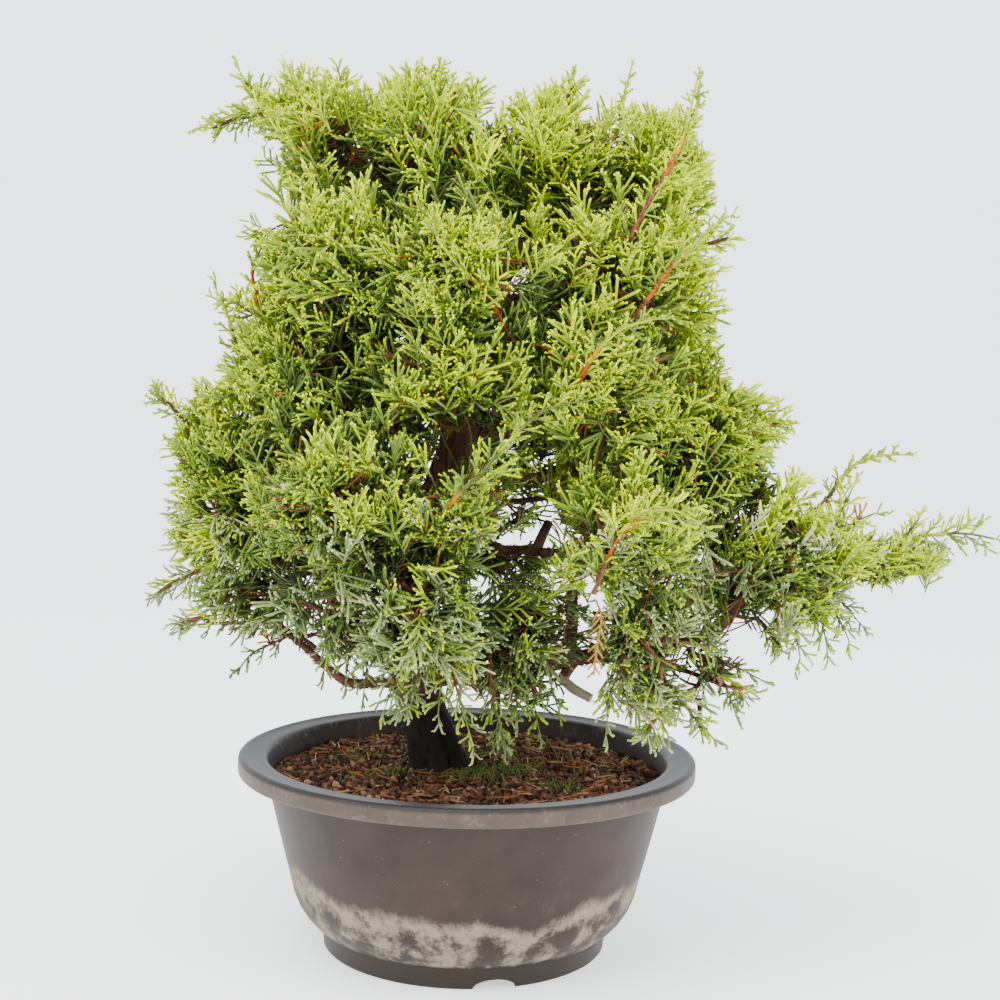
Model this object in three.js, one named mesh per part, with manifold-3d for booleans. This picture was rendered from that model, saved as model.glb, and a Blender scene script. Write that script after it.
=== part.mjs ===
// A juniper bonsai in its round plastic training pot: pot, soil, trunk, boughs and masses of foliage.
// Millimetres, +Z up, front towards -Y. The plant is laid out from a point on the ground near its trunk,
// and the last lines move everything so that the origin is under the middle of the whole object.

import * as THREE from "three";
import { mergeVertices } from "three/addons/utils/BufferGeometryUtils.js";
import Module from "manifold-3d";

const wasm = await Module();
wasm.setup();

// Pot sizes, and how far its axis stands to the right of the layout's origin
const potShift = 2.6;
const rimRadius = 100;
const potHeight = 84;
const bandHeight = 7.5;
const bandThickness = 2;
const lipWidth = 12.8;
const edgeRound = 1;
const shoulderRadius = 89.5;
const kneeRadius = 76.5;
const kneeHeight = 30;
const kneeBend = 15;
const wall = 2.3;
const footTopRadius = 64;
const footRadius = 61.8;
const footHeight = 9.4;
const footRingWidth = 3.4;
const floorThickness = 2.2;
const notchWidth = 18;
const notchHeight = 4;
const notchAngles = [-78, 42, 162];
const potSegments = 30;

// Soil sizes
const soilEdgeHeight = 75;
const soilSlopeRadius = 62;
const soilSlopeHeight = 76.6;
const soilFlatRadius = 38;
const soilHeight = 77.6;

// Pieces that meet keep this gap, so none overlaps its neighbour
const gap = 0.3;

// The trunk's middle line from just under the soil to where it ends in the apex, and its thickness
const trunkLine = [
  [-10.5, 0, 70],
  [-10.5, 0, 78],
  [-17.3, -1, 103],
  [-26, -2, 141],
  [-21, 2, 176],
  [-10, 4, 203],
  [-3.5, 4, 226],
  [1, 3, 260],
  [11, 2, 293],
  [29, 3, 309],
  [43, 3, 328],
];
const trunkRadius = 10.2;
const trunkTipRadius = 1.7;
const trunkTaper = 0.45;
const flareWidth = 2.6;
const flareHeight = 9;
const rootLobes = 5;
const rootLobeDepth = 0.16;

// Foliage: how shoots are dealt out in a mass. A shoot is a twig that opens into a spray of fingers.
const stemRootRadius = 1.9;
const stemTipRadius = 1.2;
const stemStep = 7;
const stemInside = 1.2;
const stemBeyond = 0.3;
const twigTipRadius = 0.9;
const twigShare = 0.24;
const shootsPerMass = 13;
const sprayShortest = 12;
const sprayWidth = 1.08;
const sprayFlatness = 0.8;
const fingers = 5;
const fingerSpread = [0.42, 0.54];
const fingerReach = [0.88, 0.56];
const leaderSpread = 0.06;
const valleySpread = 0.18;
const valleyHeight = 0.4;
const hollowHeight = 0.48;
const sprayTrySizes = [1.35, 1.2, 1.05, 0.9, 0.75, 0.6];
const sprayTryRolls = 3;
const sprayTryPlaces = 5;
const tipTrySizes = [1, 0.95, 0.9];
const tipWidth = 0.5;
const shootTries = 4;
const leastFacing = 0.25;
const rootOffset = 0.6;
const outlineSlack = 1.08;

// One row for each mass of foliage: its middle, its half sizes, the tone of its green,
// and the tips of single shoots that stand out of it.
// limb tells the bough that carries it: the limb and the place along it where the bough starts,
// its radius there, and points that it passes. A row with meets has no bough: its stem meets the trunk.
const masses = [
  {
    name: "apex_left", at: [-71, -5, 354], size: [30, 33, 25], tone: "bright",
    limb: { parent: "trunk", from: 0.8, radius: 2.3, via: [[-22, -3, 318]] },
    reach: [[-117, -5, 350], [-100, -5, 370], [-56, -8, 379]],
  },
  {
    name: "apex_mid", at: [-19, -12, 353], size: [33, 33, 27], tone: "bright", meets: 0.85,
    reach: [[-15, -12, 379]],
  },
  {
    name: "apex_right", at: [37, 0, 349], size: [29, 32, 28], tone: "bright", meets: 1,
    reach: [[44, 0, 379]],
  },
  {
    name: "crown_right", at: [83, 5, 345], size: [25, 30, 27], tone: "bright",
    limb: { parent: "trunk", from: 0.92, radius: 1.9, via: [] },
    reach: [[66, 0, 385], [97, 5, 379]],
  },
  {
    name: "shoulder_left", at: [-62, -45, 295], size: [31, 31, 27], tone: "bright",
    limb: { parent: "trunk", from: 0.72, radius: 2.2, via: [[-22, -14, 268]] },
    reach: [[-93, -35, 301]],
  },
  {
    name: "shoulder_mid", at: [-10, -60, 291], size: [33, 29, 26], tone: "bright", meets: 0.74,
    reach: [],
  },
  {
    name: "shoulder_right", at: [66, -36, 294], size: [38, 32, 27], tone: "bright",
    limb: { parent: "trunk", from: 0.78, radius: 2.2, via: [[40, -12, 284]] },
    reach: [[112, -20, 311]],
  },
  {
    name: "mid_left", at: [-76, -40, 249], size: [32, 31, 27], tone: "bright",
    limb: { parent: "trunk", from: 0.61, radius: 2.4, via: [[-36, -12, 238]] },
    reach: [[-104, -30, 279]],
  },
  {
    name: "mid_centre", at: [-8, -60, 246], size: [33, 29, 26], tone: "bright", meets: 0.6,
    reach: [],
  },
  {
    name: "mid_right", at: [50, -60, 246], size: [35, 31, 28], tone: "bright",
    limb: { parent: "bough_right_low", from: 0.42, radius: 2.9, via: [[46, -15, 156], [61, -32, 198]] },
    reach: [],
  },
  {
    name: "left_arm", at: [-107, -10, 218], size: [27, 30, 24], tone: "bright",
    limb: { parent: "trunk", from: 0.46, radius: 2.5, via: [[-58, -5, 204]] },
    reach: [[-138, -10, 236]],
  },
  {
    name: "left_low", at: [-103, -15, 177], size: [28, 31, 24], tone: "grey",
    limb: { parent: "trunk", from: 0.34, radius: 2.3, via: [[-62, -9, 162]] },
    reach: [[-137, -10, 154]],
  },
  {
    name: "front_left", at: [-54, -83, 199], size: [33, 30, 25], tone: "bright",
    limb: { parent: "trunk", from: 0.41, radius: 2.5, via: [[-34, -30, 184]] },
    reach: [],
  },
  {
    name: "bottom_left", at: [-90, -12, 149], size: [35, 28, 18], tone: "grey",
    limb: { parent: "trunk", from: 0.16, radius: 2.4, via: [[-50, -8, 115], [-66, -10, 128]] },
    reach: [[-128, -10, 138]],
  },
  {
    name: "low_left", at: [-52, -45, 148], size: [25, 27, 23], tone: "grey",
    limb: { parent: "trunk", from: 0.21, radius: 2, via: [] },
    reach: [],
  },
  {
    name: "front_bottom", at: [-17, -78, 152], size: [29, 27, 29], tone: "grey",
    limb: { parent: "trunk", from: 0.28, radius: 2.3, via: [[-25, -28, 152]] },
    reach: [[-24, -80, 112]],
  },
  {
    name: "front_centre", at: [-7, -78, 197], size: [27, 27, 20], tone: "bright",
    limb: { parent: "trunk", from: 0.45, radius: 2.2, via: [[-14, -32, 188]] },
    reach: [],
  },
  {
    name: "right_mid", at: [106, -22, 227], size: [30, 31, 27], tone: "bright",
    limb: { parent: "trunk", from: 0.5, radius: 2.5, via: [[34, -2, 206], [70, -10, 214]] },
    reach: [[139, -20, 234]],
  },
  {
    name: "right_low", at: [134, -30, 179], size: [37, 31, 33], tone: "bright",
    limb: {
      parent: "trunk", from: 0.17, radius: 4.4, tipRadius: 1.8,
      via: [[14, -6, 119], [42, -12, 127], [84, -15, 132], [106, -16, 141]],
    },
    reach: [[136, -33, 134]],
  },
  {
    name: "under_right", at: [104, -38, 124], size: [24, 22, 14], tone: "grey",
    limb: { parent: "bough_right_low", from: 0.62, radius: 1.7, via: [] },
    reach: [[95, -66, 106], [122, -15, 110]],
  },
  {
    name: "right_tip", at: [187, 0, 175], size: [27, 24, 15], tone: "bright",
    limb: { parent: "bough_right_low", from: 0.62, radius: 2.1, via: [[102, -9, 148], [124, -4, 158]] },
    reach: [[232.5, 0, 182.5], [193, 5, 218]],
  },
  {
    name: "front_right", at: [68, -84, 190], size: [26, 26, 22], tone: "bright",
    limb: {
      parent: "trunk", from: 0.38, radius: 2.3,
      via: [[15, -8, 174], [37, -16, 174], [54, -44, 178]],
    },
    reach: [],
  },
  {
    name: "bottom_right", at: [76, -68, 137], size: [23, 25, 29], tone: "grey",
    limb: { parent: "bough_right_low", from: 0.5, radius: 1.8, via: [[66, -32, 140]] },
    reach: [[71, -74, 103]],
  },
  {
    name: "bottom_centre", at: [28, -38, 135], size: [23, 25, 27], tone: "grey",
    limb: { parent: "trunk", from: 0.25, radius: 1.8, via: [[2, -18, 148]] },
    reach: [[16, -42, 92]],
  },
  {
    name: "back_top", at: [-21, 52, 334], size: [40, 34, 31], tone: "bright", meets: 0.8,
    reach: [],
  },
  {
    name: "back_top_right", at: [66, 54, 328], size: [37, 32, 30], tone: "bright",
    limb: { parent: "trunk", from: 0.87, radius: 1.9, via: [] },
    reach: [],
  },
  {
    name: "back_left", at: [-72, 58, 270], size: [38, 33, 34], tone: "bright",
    limb: { parent: "trunk", from: 0.66, radius: 2.3, via: [[-32, 26, 256]] },
    reach: [],
  },
  {
    name: "back_mid", at: [22, 70, 250], size: [42, 34, 42], tone: "bright",
    limb: { parent: "trunk", from: 0.64, radius: 2.2, via: [] },
    reach: [],
  },
  {
    name: "back_right", at: [92, 58, 240], size: [36, 34, 33], tone: "bright",
    limb: { parent: "trunk", from: 0.56, radius: 2.4, via: [[44, 24, 230]] },
    reach: [],
  },
  {
    name: "back_low_left", at: [-88, 58, 184], size: [36, 32, 28], tone: "grey",
    limb: { parent: "trunk", from: 0.36, radius: 2.3, via: [[-48, 26, 176]] },
    reach: [],
  },
  {
    name: "back_low", at: [6, 68, 172], size: [48, 34, 36], tone: "grey",
    limb: { parent: "trunk", from: 0.31, radius: 2.2, via: [] },
    reach: [],
  },
];

// Straight ways from front to back where daylight shows through the crown: middle X and Z, and radius
const daylight = [
  { x: 24, z: 295, radius: 5 },
  { x: -31, z: 266, radius: 4 },
  { x: 15, z: 241, radius: 4 },
  { x: 17, z: 223, radius: 5 },
  { x: -14, z: 205, radius: 5 },
  { x: 36, z: 197, radius: 6 },
  { x: 57, z: 187, radius: 5 },
  { x: 6, z: 155, radius: 5 },
  { x: 48, z: 113, radius: 9 },
];

// Turn a three.js geometry into a solid: corners that coincide become one, and flat triangles are dropped
function solidOf(geometry) {
  const bare = geometry.index ? geometry.toNonIndexed() : geometry.clone();
  bare.deleteAttribute("normal");
  bare.deleteAttribute("uv");
  const merged = mergeVertices(bare, 1e-4);
  const corners = merged.index.array;
  const kept = [];
  for (let i = 0; i < corners.length; i += 3) {
    const [a, b, c] = corners.slice(i, i + 3);
    if (a !== b && b !== c && a !== c) {
      kept.push(a, b, c);
    }
  }
  const mesh = new wasm.Mesh({
    numProp: 3,
    vertProperties: new Float32Array(merged.attributes.position.array),
    triVerts: new Uint32Array(kept),
  });
  return new wasm.Manifold(mesh);
}

// Turn a solid back into a three.js geometry
function geometryOf(solid) {
  const mesh = solid.getMesh();
  const geometry = new THREE.BufferGeometry();
  geometry.setAttribute("position", new THREE.BufferAttribute(mesh.vertProperties, 3));
  geometry.setIndex(new THREE.BufferAttribute(mesh.triVerts, 1));
  geometry.computeVertexNormals();
  return geometry;
}

// The largest body of a solid, without loose scraps and with any sealed hollow filled
function mainBody(solid) {
  const bodies = solid.decompose();
  return bodies.reduce((most, body) => (body.volume() > most.volume() ? body : most));
}

// The same row of random numbers for the same seed
function seededRandom(seed) {
  let state = seed >>> 0;
  return () => {
    state = (state + 0x6d2b79f5) >>> 0;
    let mixed = Math.imul(state ^ (state >>> 15), 1 | state);
    mixed = (mixed + Math.imul(mixed ^ (mixed >>> 7), 61 | mixed)) ^ mixed;
    return ((mixed ^ (mixed >>> 14)) >>> 0) / 4294967296;
  };
}

const vector = (xyz) => new THREE.Vector3(...xyz);

const between = ([low, high], share) => low + (high - low) * share;

// Revolve a closed profile of radius and height about the pot's axis
function turned(profile) {
  const points = profile.map(([radius, height]) => new THREE.Vector2(radius, height));
  return solidOf(new THREE.LatheGeometry(points, potSegments).rotateX(Math.PI / 2));
}

// The bowl's curve from the foot up to the shoulder, moved in by inset, with its knee in some steps
function bowlLine(inset, low, high, steps) {
  const bend = new THREE.QuadraticBezierCurve(
    new THREE.Vector2(footTopRadius - inset, low),
    new THREE.Vector2(kneeRadius - 2.5 - inset, kneeBend),
    new THREE.Vector2(kneeRadius - inset, kneeHeight),
  );
  const slope = (shoulderRadius - kneeRadius) / (potHeight - bandHeight - kneeHeight);
  const rise = high - kneeHeight;
  return [...bend.getPoints(steps).map((p) => [p.x, p.y]), [kneeRadius + slope * rise - inset, high]];
}

// The pot: bowl with a turned-down band round its rim, standing on a ring foot with arched notches
function potSolid() {
  const bandBottom = potHeight - bandHeight;
  const lipInner = rimRadius - lipWidth;
  const floorUnder = footHeight - floorThickness;
  const outside = [
    [0, floorUnder],
    [footRadius - footRingWidth, floorUnder],
    [footRadius - footRingWidth, 0],
    [footRadius, 0],
    ...bowlLine(0, footHeight, potHeight - wall, 3),
    [rimRadius - bandThickness, potHeight - wall],
    [rimRadius - bandThickness, bandBottom],
    [rimRadius, bandBottom],
    [rimRadius, potHeight - edgeRound],
    [rimRadius - edgeRound, potHeight],
    [lipInner + edgeRound, potHeight],
    [lipInner, potHeight - edgeRound],
  ];
  const inside = [...bowlLine(wall, footHeight, soilEdgeHeight, 2).reverse(), [0, footHeight]];
  let pot = turned([...outside, ...inside]);
  for (const degrees of notchAngles) {
    pot = pot.subtract(footNotch(THREE.MathUtils.degToRad(degrees)));
  }
  return pot;
}

// An arch that cuts the foot ring open at one angle
function footNotch(angle) {
  const arch = new THREE.Shape();
  arch.moveTo(-notchWidth / 2, -1);
  arch.lineTo(notchWidth / 2, -1);
  arch.absellipse(0, 0, notchWidth / 2, notchHeight, 0, Math.PI, false);
  const depth = 4 * footRingWidth;
  const notch = new THREE.ExtrudeGeometry(arch, { depth, bevelEnabled: false, curveSegments: 4 });
  notch.rotateX(Math.PI / 2);
  notch.translate(0, footRadius + depth / 3, 0);
  notch.rotateZ(angle - Math.PI / 2);
  return solidOf(notch);
}

// The soil fills the pot to just under the rim and lies a little higher round the trunk
function soilSolid() {
  return turned([
    [0, footHeight + gap],
    ...bowlLine(wall + gap, footHeight + gap, soilEdgeHeight, 2),
    [soilSlopeRadius, soilSlopeHeight],
    [soilFlatRadius, soilHeight],
    [0, soilHeight],
  ]);
}

// One limb: a closed tube of rings along a curve, with a radius that changes along it and round it
function limbGeometry(curve, radiusAt, sides, steps) {
  const frames = curve.computeFrenetFrames(steps, false);
  const positions = [];
  const faces = [];
  for (let i = 0; i <= steps; i++) {
    const middle = curve.getPointAt(i / steps);
    for (let j = 0; j < sides; j++) {
      const angle = (j / sides) * 2 * Math.PI;
      const radius = radiusAt(i / steps, angle);
      const corner = middle
        .clone()
        .addScaledVector(frames.normals[i], radius * Math.cos(angle))
        .addScaledVector(frames.binormals[i], radius * Math.sin(angle));
      positions.push(...corner.toArray());
    }
  }
  for (let i = 0; i < steps; i++) {
    for (let j = 0; j < sides; j++) {
      const a = i * sides + j;
      const b = i * sides + ((j + 1) % sides);
      faces.push(a, b, b + sides, a, b + sides, a + sides);
    }
  }
  const last = steps * sides;
  for (let j = 1; j < sides - 1; j++) {
    faces.push(0, j + 1, j);
    faces.push(last, last + j, last + j + 1);
  }
  const geometry = new THREE.BufferGeometry();
  geometry.setAttribute("position", new THREE.Float32BufferAttribute(positions, 3));
  geometry.setIndex(faces);
  return geometry;
}

// A limb's solid and the slightly thicker one that its neighbours keep out of
function limbSolids(curve, radiusAt, sides, steps) {
  const thicker = (along, angle) => radiusAt(along, angle) + gap;
  return {
    curve,
    solid: solidOf(limbGeometry(curve, radiusAt, sides, steps)),
    clearance: solidOf(limbGeometry(curve, thicker, sides, steps)),
  };
}

// The trunk: true taper and lean, a lobed flare at the roots, cut flat where it meets the soil
function growTrunk() {
  const curve = new THREE.CatmullRomCurve3(trunkLine.map(vector), false, "centripetal");
  const length = curve.getLength();
  const radiusAt = (along, angle) => {
    const height = Math.max(0, along * length - (soilHeight - trunkLine[0][2]));
    const fade = Math.exp(-height / flareHeight);
    const plain = trunkTipRadius + (trunkRadius - trunkTipRadius) * (1 - along) ** trunkTaper;
    const lobes = 1 + rootLobeDepth * fade * Math.cos(rootLobes * angle);
    return plain * lobes + flareWidth * fade;
  };
  const trunk = limbSolids(curve, radiusAt, 10, 19);
  const below = new THREE.BoxGeometry(80, 80, 40).translate(0, 0, soilHeight + gap - 20);
  trunk.solid = trunk.solid.subtract(solidOf(below));
  return trunk;
}

// Distance from a mass's middle to its edge in one direction
function reachIn(mass, direction) {
  const [x, y, z] = mass.size;
  return 1 / Math.hypot(direction.x / x, direction.y / y, direction.z / z);
}

// A bough: one tapering limb from its parent into the near part of the mass that it carries
function growBough(mass, parent, random) {
  const { from, radius, via } = mass.limb;
  const tipRadius = mass.limb.tipRadius ?? 1.1;
  const middle = vector(mass.at);
  const root = parent.curve.getPointAt(from);
  const stations = [root, ...via.map(vector)];
  const back = stations.at(-1).clone().sub(middle).normalize();
  stations.push(middle.clone().addScaledVector(back, 0.6 * reachIn(mass, back)));
  const points = [root];
  for (let i = 1; i < stations.length; i++) {
    const wander = stations[i].distanceTo(stations[i - 1]) * 0.05;
    const between = stations[i].clone().add(stations[i - 1]).multiplyScalar(0.5);
    const shift = [random() - 0.5, random() - 0.5, random() - 0.5].map((r) => 2 * r * wander);
    points.push(between.add(vector(shift)), stations[i]);
  }
  const curve = new THREE.CatmullRomCurve3(points, false, "centripetal");
  const steps = Math.max(4, Math.round(curve.getLength() / 16));
  const bough = limbSolids(curve, (u) => tipRadius + (radius - tipRadius) * (1 - u) ** 0.8, 5, steps);
  bough.tipRadius = tipRadius;
  bough.solid = mainBody(bough.solid.subtract(parent.clearance));
  return bough;
}

// A mass's stem: it goes on from the bough's tip, or from the trunk, to the middle of the mass
function growStem(mass, carrier) {
  const middle = vector(mass.at);
  const fromTip = !mass.meets || mass.meets === 1;
  const along = fromTip ? 1 : mass.meets;
  const heading = carrier.curve.getTangentAt(along);
  const start = carrier.curve.getPointAt(along);
  const bend = start.clone();
  if (fromTip) {
    start.addScaledVector(heading, gap);
    bend.addScaledVector(heading, 0.45 * start.distanceTo(middle));
  } else {
    bend.lerp(middle, 0.5).add(new THREE.Vector3(0, 0, -0.12 * start.distanceTo(middle)));
  }
  const onward = middle.clone().sub(bend).normalize();
  const end = middle.addScaledVector(onward, stemBeyond * reachIn(mass, onward));
  const curve = new THREE.QuadraticBezierCurve3(start, bend, end);
  const rootRadius = fromTip ? (carrier.tipRadius ?? trunkTipRadius) : stemRootRadius;
  const radiusAt = (u) => rootRadius + (stemTipRadius - rootRadius) * u;
  const stem = limbSolids(curve, radiusAt, 4, 5);
  return { ...stem, radiusAt, cut: fromTip ? null : carrier.clearance };
}

// Directions spread evenly over a sphere
function spreadDirection(i, count, turn) {
  const height = 1 - (2 * (i + 0.5)) / count;
  const around = turn + i * Math.PI * (3 - Math.sqrt(5));
  const flat = Math.sqrt(1 - height * height);
  return new THREE.Vector3(flat * Math.cos(around), flat * Math.sin(around), height);
}

// A skin is one closed surface that grows: four-sided shoots sprout from each other's side faces.
// Rings are four corner numbers, counter-clockwise as seen by someone whom the shoot grows towards.
function newSkin() {
  return { corners: [], sides: [], triangles: [] };
}

function addCorner(skin, point) {
  return skin.corners.push(point) - 1;
}

// Four corners round a point, the first one turned by roll from a level side
function addRing(skin, centre, heading, radius, roll) {
  const { side, flat } = crossAxes(heading, roll);
  return [side, flat, side.clone().negate(), flat.clone().negate()].map((out) => (
    addCorner(skin, centre.clone().addScaledVector(out, radius))
  ));
}

function crossAxes(heading, roll) {
  const side = new THREE.Vector3(0, 0, 1).cross(heading);
  if (side.length() < 0.1) {
    side.set(1, 0, 0);
  }
  side.normalize().applyAxisAngle(heading, roll);
  return { side, flat: heading.clone().cross(side).normalize() };
}

// Join two rings by four side faces, taking the new ring's corners in the order that twists least
function joinRings(skin, ring, next) {
  const span = (shift) => ring.reduce((sum, corner, i) => (
    sum + skin.corners[corner].distanceTo(skin.corners[next[(i + shift) % 4]])
  ), 0);
  const shift = [0, 1, 2, 3].reduce((best, k) => (span(k) < span(best) ? k : best), 0);
  for (let i = 0; i < 4; i++) {
    const [a, b] = [ring[i], ring[(i + 1) % 4]];
    const [c, d] = [next[(i + 1 + shift) % 4], next[(i + shift) % 4]];
    skin.sides.push({ corners: [a, b, c, d], sprouted: false });
  }
}

// Close a shoot's last ring with a spray: a small hub that pointed fingers stand out of.
// The first finger leads on to the tip, and the others spread round it.
function closeWithSpray(skin, ring, base, tip, shape) {
  const heading = tip.clone().sub(base);
  const length = heading.length();
  const { side, flat } = crossAxes(heading.normalize(), shape.roll);
  const place = (angle, out, along) => addCorner(skin, base
    .clone()
    .addScaledVector(heading, along * length)
    .addScaledVector(side, out * shape.width * length * Math.cos(angle))
    .addScaledVector(flat, out * shape.width * sprayFlatness * length * Math.sin(angle)));
  const rim = [];
  for (let i = 0; i < fingers; i++) {
    const angle = (2 * Math.PI * i) / fingers;
    const out = i === 0 ? leaderSpread : between(fingerSpread, shape.jitter[i]);
    const along = i === 0 ? 1 : between(fingerReach, shape.jitter[i]);
    rim.push(place(angle, out, along), place(angle + Math.PI / fingers, valleySpread, valleyHeight));
  }
  const hollow = place(0, 0, hollowHeight);
  const nearest = (i) => Math.round(((i + 0.5) * 4) / rim.length);
  for (let i = 0; i < rim.length; i++) {
    const [here, next] = [rim[i], rim[(i + 1) % rim.length]];
    const [before, after] = [nearest(i - 1), nearest(i)];
    skin.triangles.push(here, next, hollow);
    skin.triangles.push(ring[after % 4], next, here);
    if (before !== after) {
      skin.triangles.push(ring[before % 4], ring[after % 4], here);
    }
  }
}

function skinGeometry(skin) {
  const faces = [...skin.triangles];
  for (const { corners: [a, b, c, d], sprouted } of skin.sides) {
    if (!sprouted) {
      faces.push(a, b, c, a, c, d);
    }
  }
  const geometry = new THREE.BufferGeometry().setFromPoints(skin.corners);
  geometry.setIndex(faces);
  return geometry;
}

function meanSize(mass) {
  return (mass.size[0] + mass.size[1] + mass.size[2]) / 3;
}

// True if a point is on a mass's own side of the halfway planes to all other masses
function inOwnSpace(point, mass) {
  const power = (other) => point.distanceToSquared(vector(other.at)) - meanSize(other) ** 2;
  const own = power(mass);
  return masses.every((other) => {
    const apart = vector(mass.at).distanceTo(vector(other.at));
    return other === mass || own + 2 * apart * gap < power(other);
  });
}

function inDaylight(point) {
  return daylight.some((way) => Math.hypot(point.x - way.x, point.z - way.z) < way.radius);
}

// A solid with its box, so that pieces far apart are told from each other at once
function boxed(solid) {
  const { min, max } = solid.boundingBox();
  return { solid, box: new THREE.Box3(vector(min), vector(max)) };
}

function touches(piece, other) {
  return piece.box.intersectsBox(other.box) && !piece.solid.intersect(other.solid).isEmpty();
}

// True if a point, seen from the front, lies on one of the masses, which together make the crown's outline
function inOutline(point) {
  return masses.some(({ at, size }) => (
    Math.hypot((point.x - at[0]) / size[0], (point.z - at[2]) / size[2]) < outlineSlack
  ));
}

// True if a shoot keeps to its mass's space and leaves the daylight open
function hasRoom(geometry, mass, shape) {
  const positions = geometry.getAttribute("position");
  const corner = new THREE.Vector3();
  for (let i = 0; i < positions.count; i++) {
    corner.fromBufferAttribute(positions, i);
    if (!inOwnSpace(corner, mass) || inDaylight(corner) || !(shape.standsOut || inOutline(corner))) {
      return false;
    }
  }
  return true;
}

// Add a shoot to a skin, from a ring to a tip: a twig, then a spray
function growShoot(skin, ring, root, tip, shape) {
  const heading = tip.clone().sub(root).normalize();
  const base = root.clone().lerp(tip, twigShare);
  const end = addRing(skin, base, heading, twigTipRadius, shape.roll);
  joinRings(skin, ring, end);
  closeWithSpray(skin, end, base, tip, shape);
}

// A shoot by itself, from a little way off its root, to test what it would touch
function loneShoot(root, tip, shape) {
  const skin = newSkin();
  const heading = tip.clone().sub(root).normalize();
  const from = root.clone().addScaledVector(heading, rootOffset);
  const ring = addRing(skin, from, heading, twigTipRadius, shape.roll);
  const [a, b, c, d] = ring;
  skin.triangles.push(a, d, c, a, c, b);
  growShoot(skin, ring, from, tip, shape);
  return skinGeometry(skin);
}

// The stem of a mass as a skin: long steps outside the mass and short ones inside it
function stemSkin(stem, mass) {
  const length = stem.curve.getLength();
  const inside = Math.min(1, (stemInside * meanSize(mass)) / length);
  const insideSteps = Math.round((inside * length) / stemStep);
  const outsideSteps = Math.round(((1 - inside) * length) / (2 * stemStep));
  const stations = [];
  for (let i = 0; i < outsideSteps; i++) {
    stations.push(((1 - inside) * i) / outsideSteps);
  }
  for (let i = 0; i <= insideSteps; i++) {
    stations.push(1 - inside + (inside * i) / insideSteps);
  }
  const skin = newSkin();
  const rings = stations.map((u) => (
    addRing(skin, stem.curve.getPointAt(u), stem.curve.getTangentAt(u), stem.radiusAt(u), 0)
  ));
  const [a, b, c, d] = rings[0];
  skin.triangles.push(a, d, c, a, c, b);
  for (let i = 1; i < rings.length; i++) {
    joinRings(skin, rings[i - 1], rings[i]);
  }
  skin.sides.push({ corners: rings.at(-1), sprouted: false });
  return skin;
}

// A mass of foliage: shoots branch from one stem and from each other, and reach the mass's outline
function growMass(mass, stem, limbs, seed) {
  const random = seededRandom(seed);
  const middle = vector(mass.at);
  const skin = stemSkin(stem, mass);
  const shoots = [];

  const tryShoot = (side, end, shape) => {
    const [a, b, c, d] = side.corners.map((corner) => skin.corners[corner]);
    const root = a.clone().add(b).add(c).add(d).multiplyScalar(0.25);
    const facing = c.clone().sub(a).cross(d.clone().sub(b)).normalize();
    const heading = end.clone().sub(root);
    if (heading.length() < sprayShortest || facing.dot(heading.normalize()) < leastFacing) {
      return false;
    }
    const geometry = loneShoot(root, end, shape);
    if (!hasRoom(geometry, mass, shape)) {
      return false;
    }
    const shoot = boxed(solidOf(geometry));
    if ([...limbs, ...shoots].some((other) => touches(shoot, other))) {
      return false;
    }
    side.sprouted = true;
    growShoot(skin, side.corners, root, end, shape);
    shoots.push(shoot);
    return true;
  };

  // Try a shoot from the nearest free sides, in several sizes and turns, and keep the first that fits
  const addShoot = (wanted, tip, sizes, places, look) => {
    const turn = random() * Math.PI;
    const jitter = Array.from({ length: fingers }, random);
    const far = (side) => side.corners.reduce((sum, i) => sum + skin.corners[i].distanceTo(wanted), 0);
    const near = skin.sides
      .filter((side) => !side.sprouted)
      .sort((one, other) => far(one) - far(other))
      .slice(0, places);
    const rolls = Array.from({ length: sprayTryRolls }, (_, i) => turn + (i * Math.PI) / sprayTryRolls);
    return sizes.some((size) => near.some((side) => rolls.some((roll) => (
      tryShoot(side, middle.clone().lerp(tip, size), { ...look, jitter, roll })
    ))));
  };

  for (const tip of mass.reach.map(vector)) {
    addShoot(tip, tip, tipTrySizes, Infinity, { width: tipWidth, standsOut: true });
  }
  const turn = random() * 2 * Math.PI;
  let grown = 0;
  for (let i = 0; i < shootTries * shootsPerMass && grown < shootsPerMass; i++) {
    const round = Math.floor(i / shootsPerMass);
    const direction = spreadDirection((i * 5) % shootsPerMass, shootsPerMass, turn + 1.3 * round);
    const tip = middle.clone().addScaledVector(direction, reachIn(mass, direction));
    const wanted = middle.clone().lerp(tip, 0.25);
    if (addShoot(wanted, tip, sprayTrySizes, sprayTryPlaces, { width: sprayWidth, standsOut: false })) {
      grown++;
    }
  }
  const solid = solidOf(skinGeometry(skin));
  return stem.cut ? mainBody(solid.subtract(stem.cut)) : solid;
}

// Materials, in the colours of the real plant
function material(name, color, roughness) {
  const finish = new THREE.MeshStandardMaterial({ color, roughness, metalness: 0 });
  finish.name = name;
  return finish;
}

const plastic = material("dark grey plastic", 0x3b3838, 0.55);
const earth = material("brown potting grains", 0x4a3226, 0.95);
const bark = material("red-brown bark", 0x4a2c20, 0.9);
const tones = {
  bright: material("bright young foliage", 0x86a82f, 0.6),
  grey: material("grey-green older foliage", 0x6c8550, 0.65),
};

const tree = new THREE.Group();
tree.name = "juniper_bonsai";

function addNode(name, solid, finish) {
  const mesh = new THREE.Mesh(geometryOf(solid), finish.clone());
  mesh.name = name;
  tree.add(mesh);
}

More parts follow.
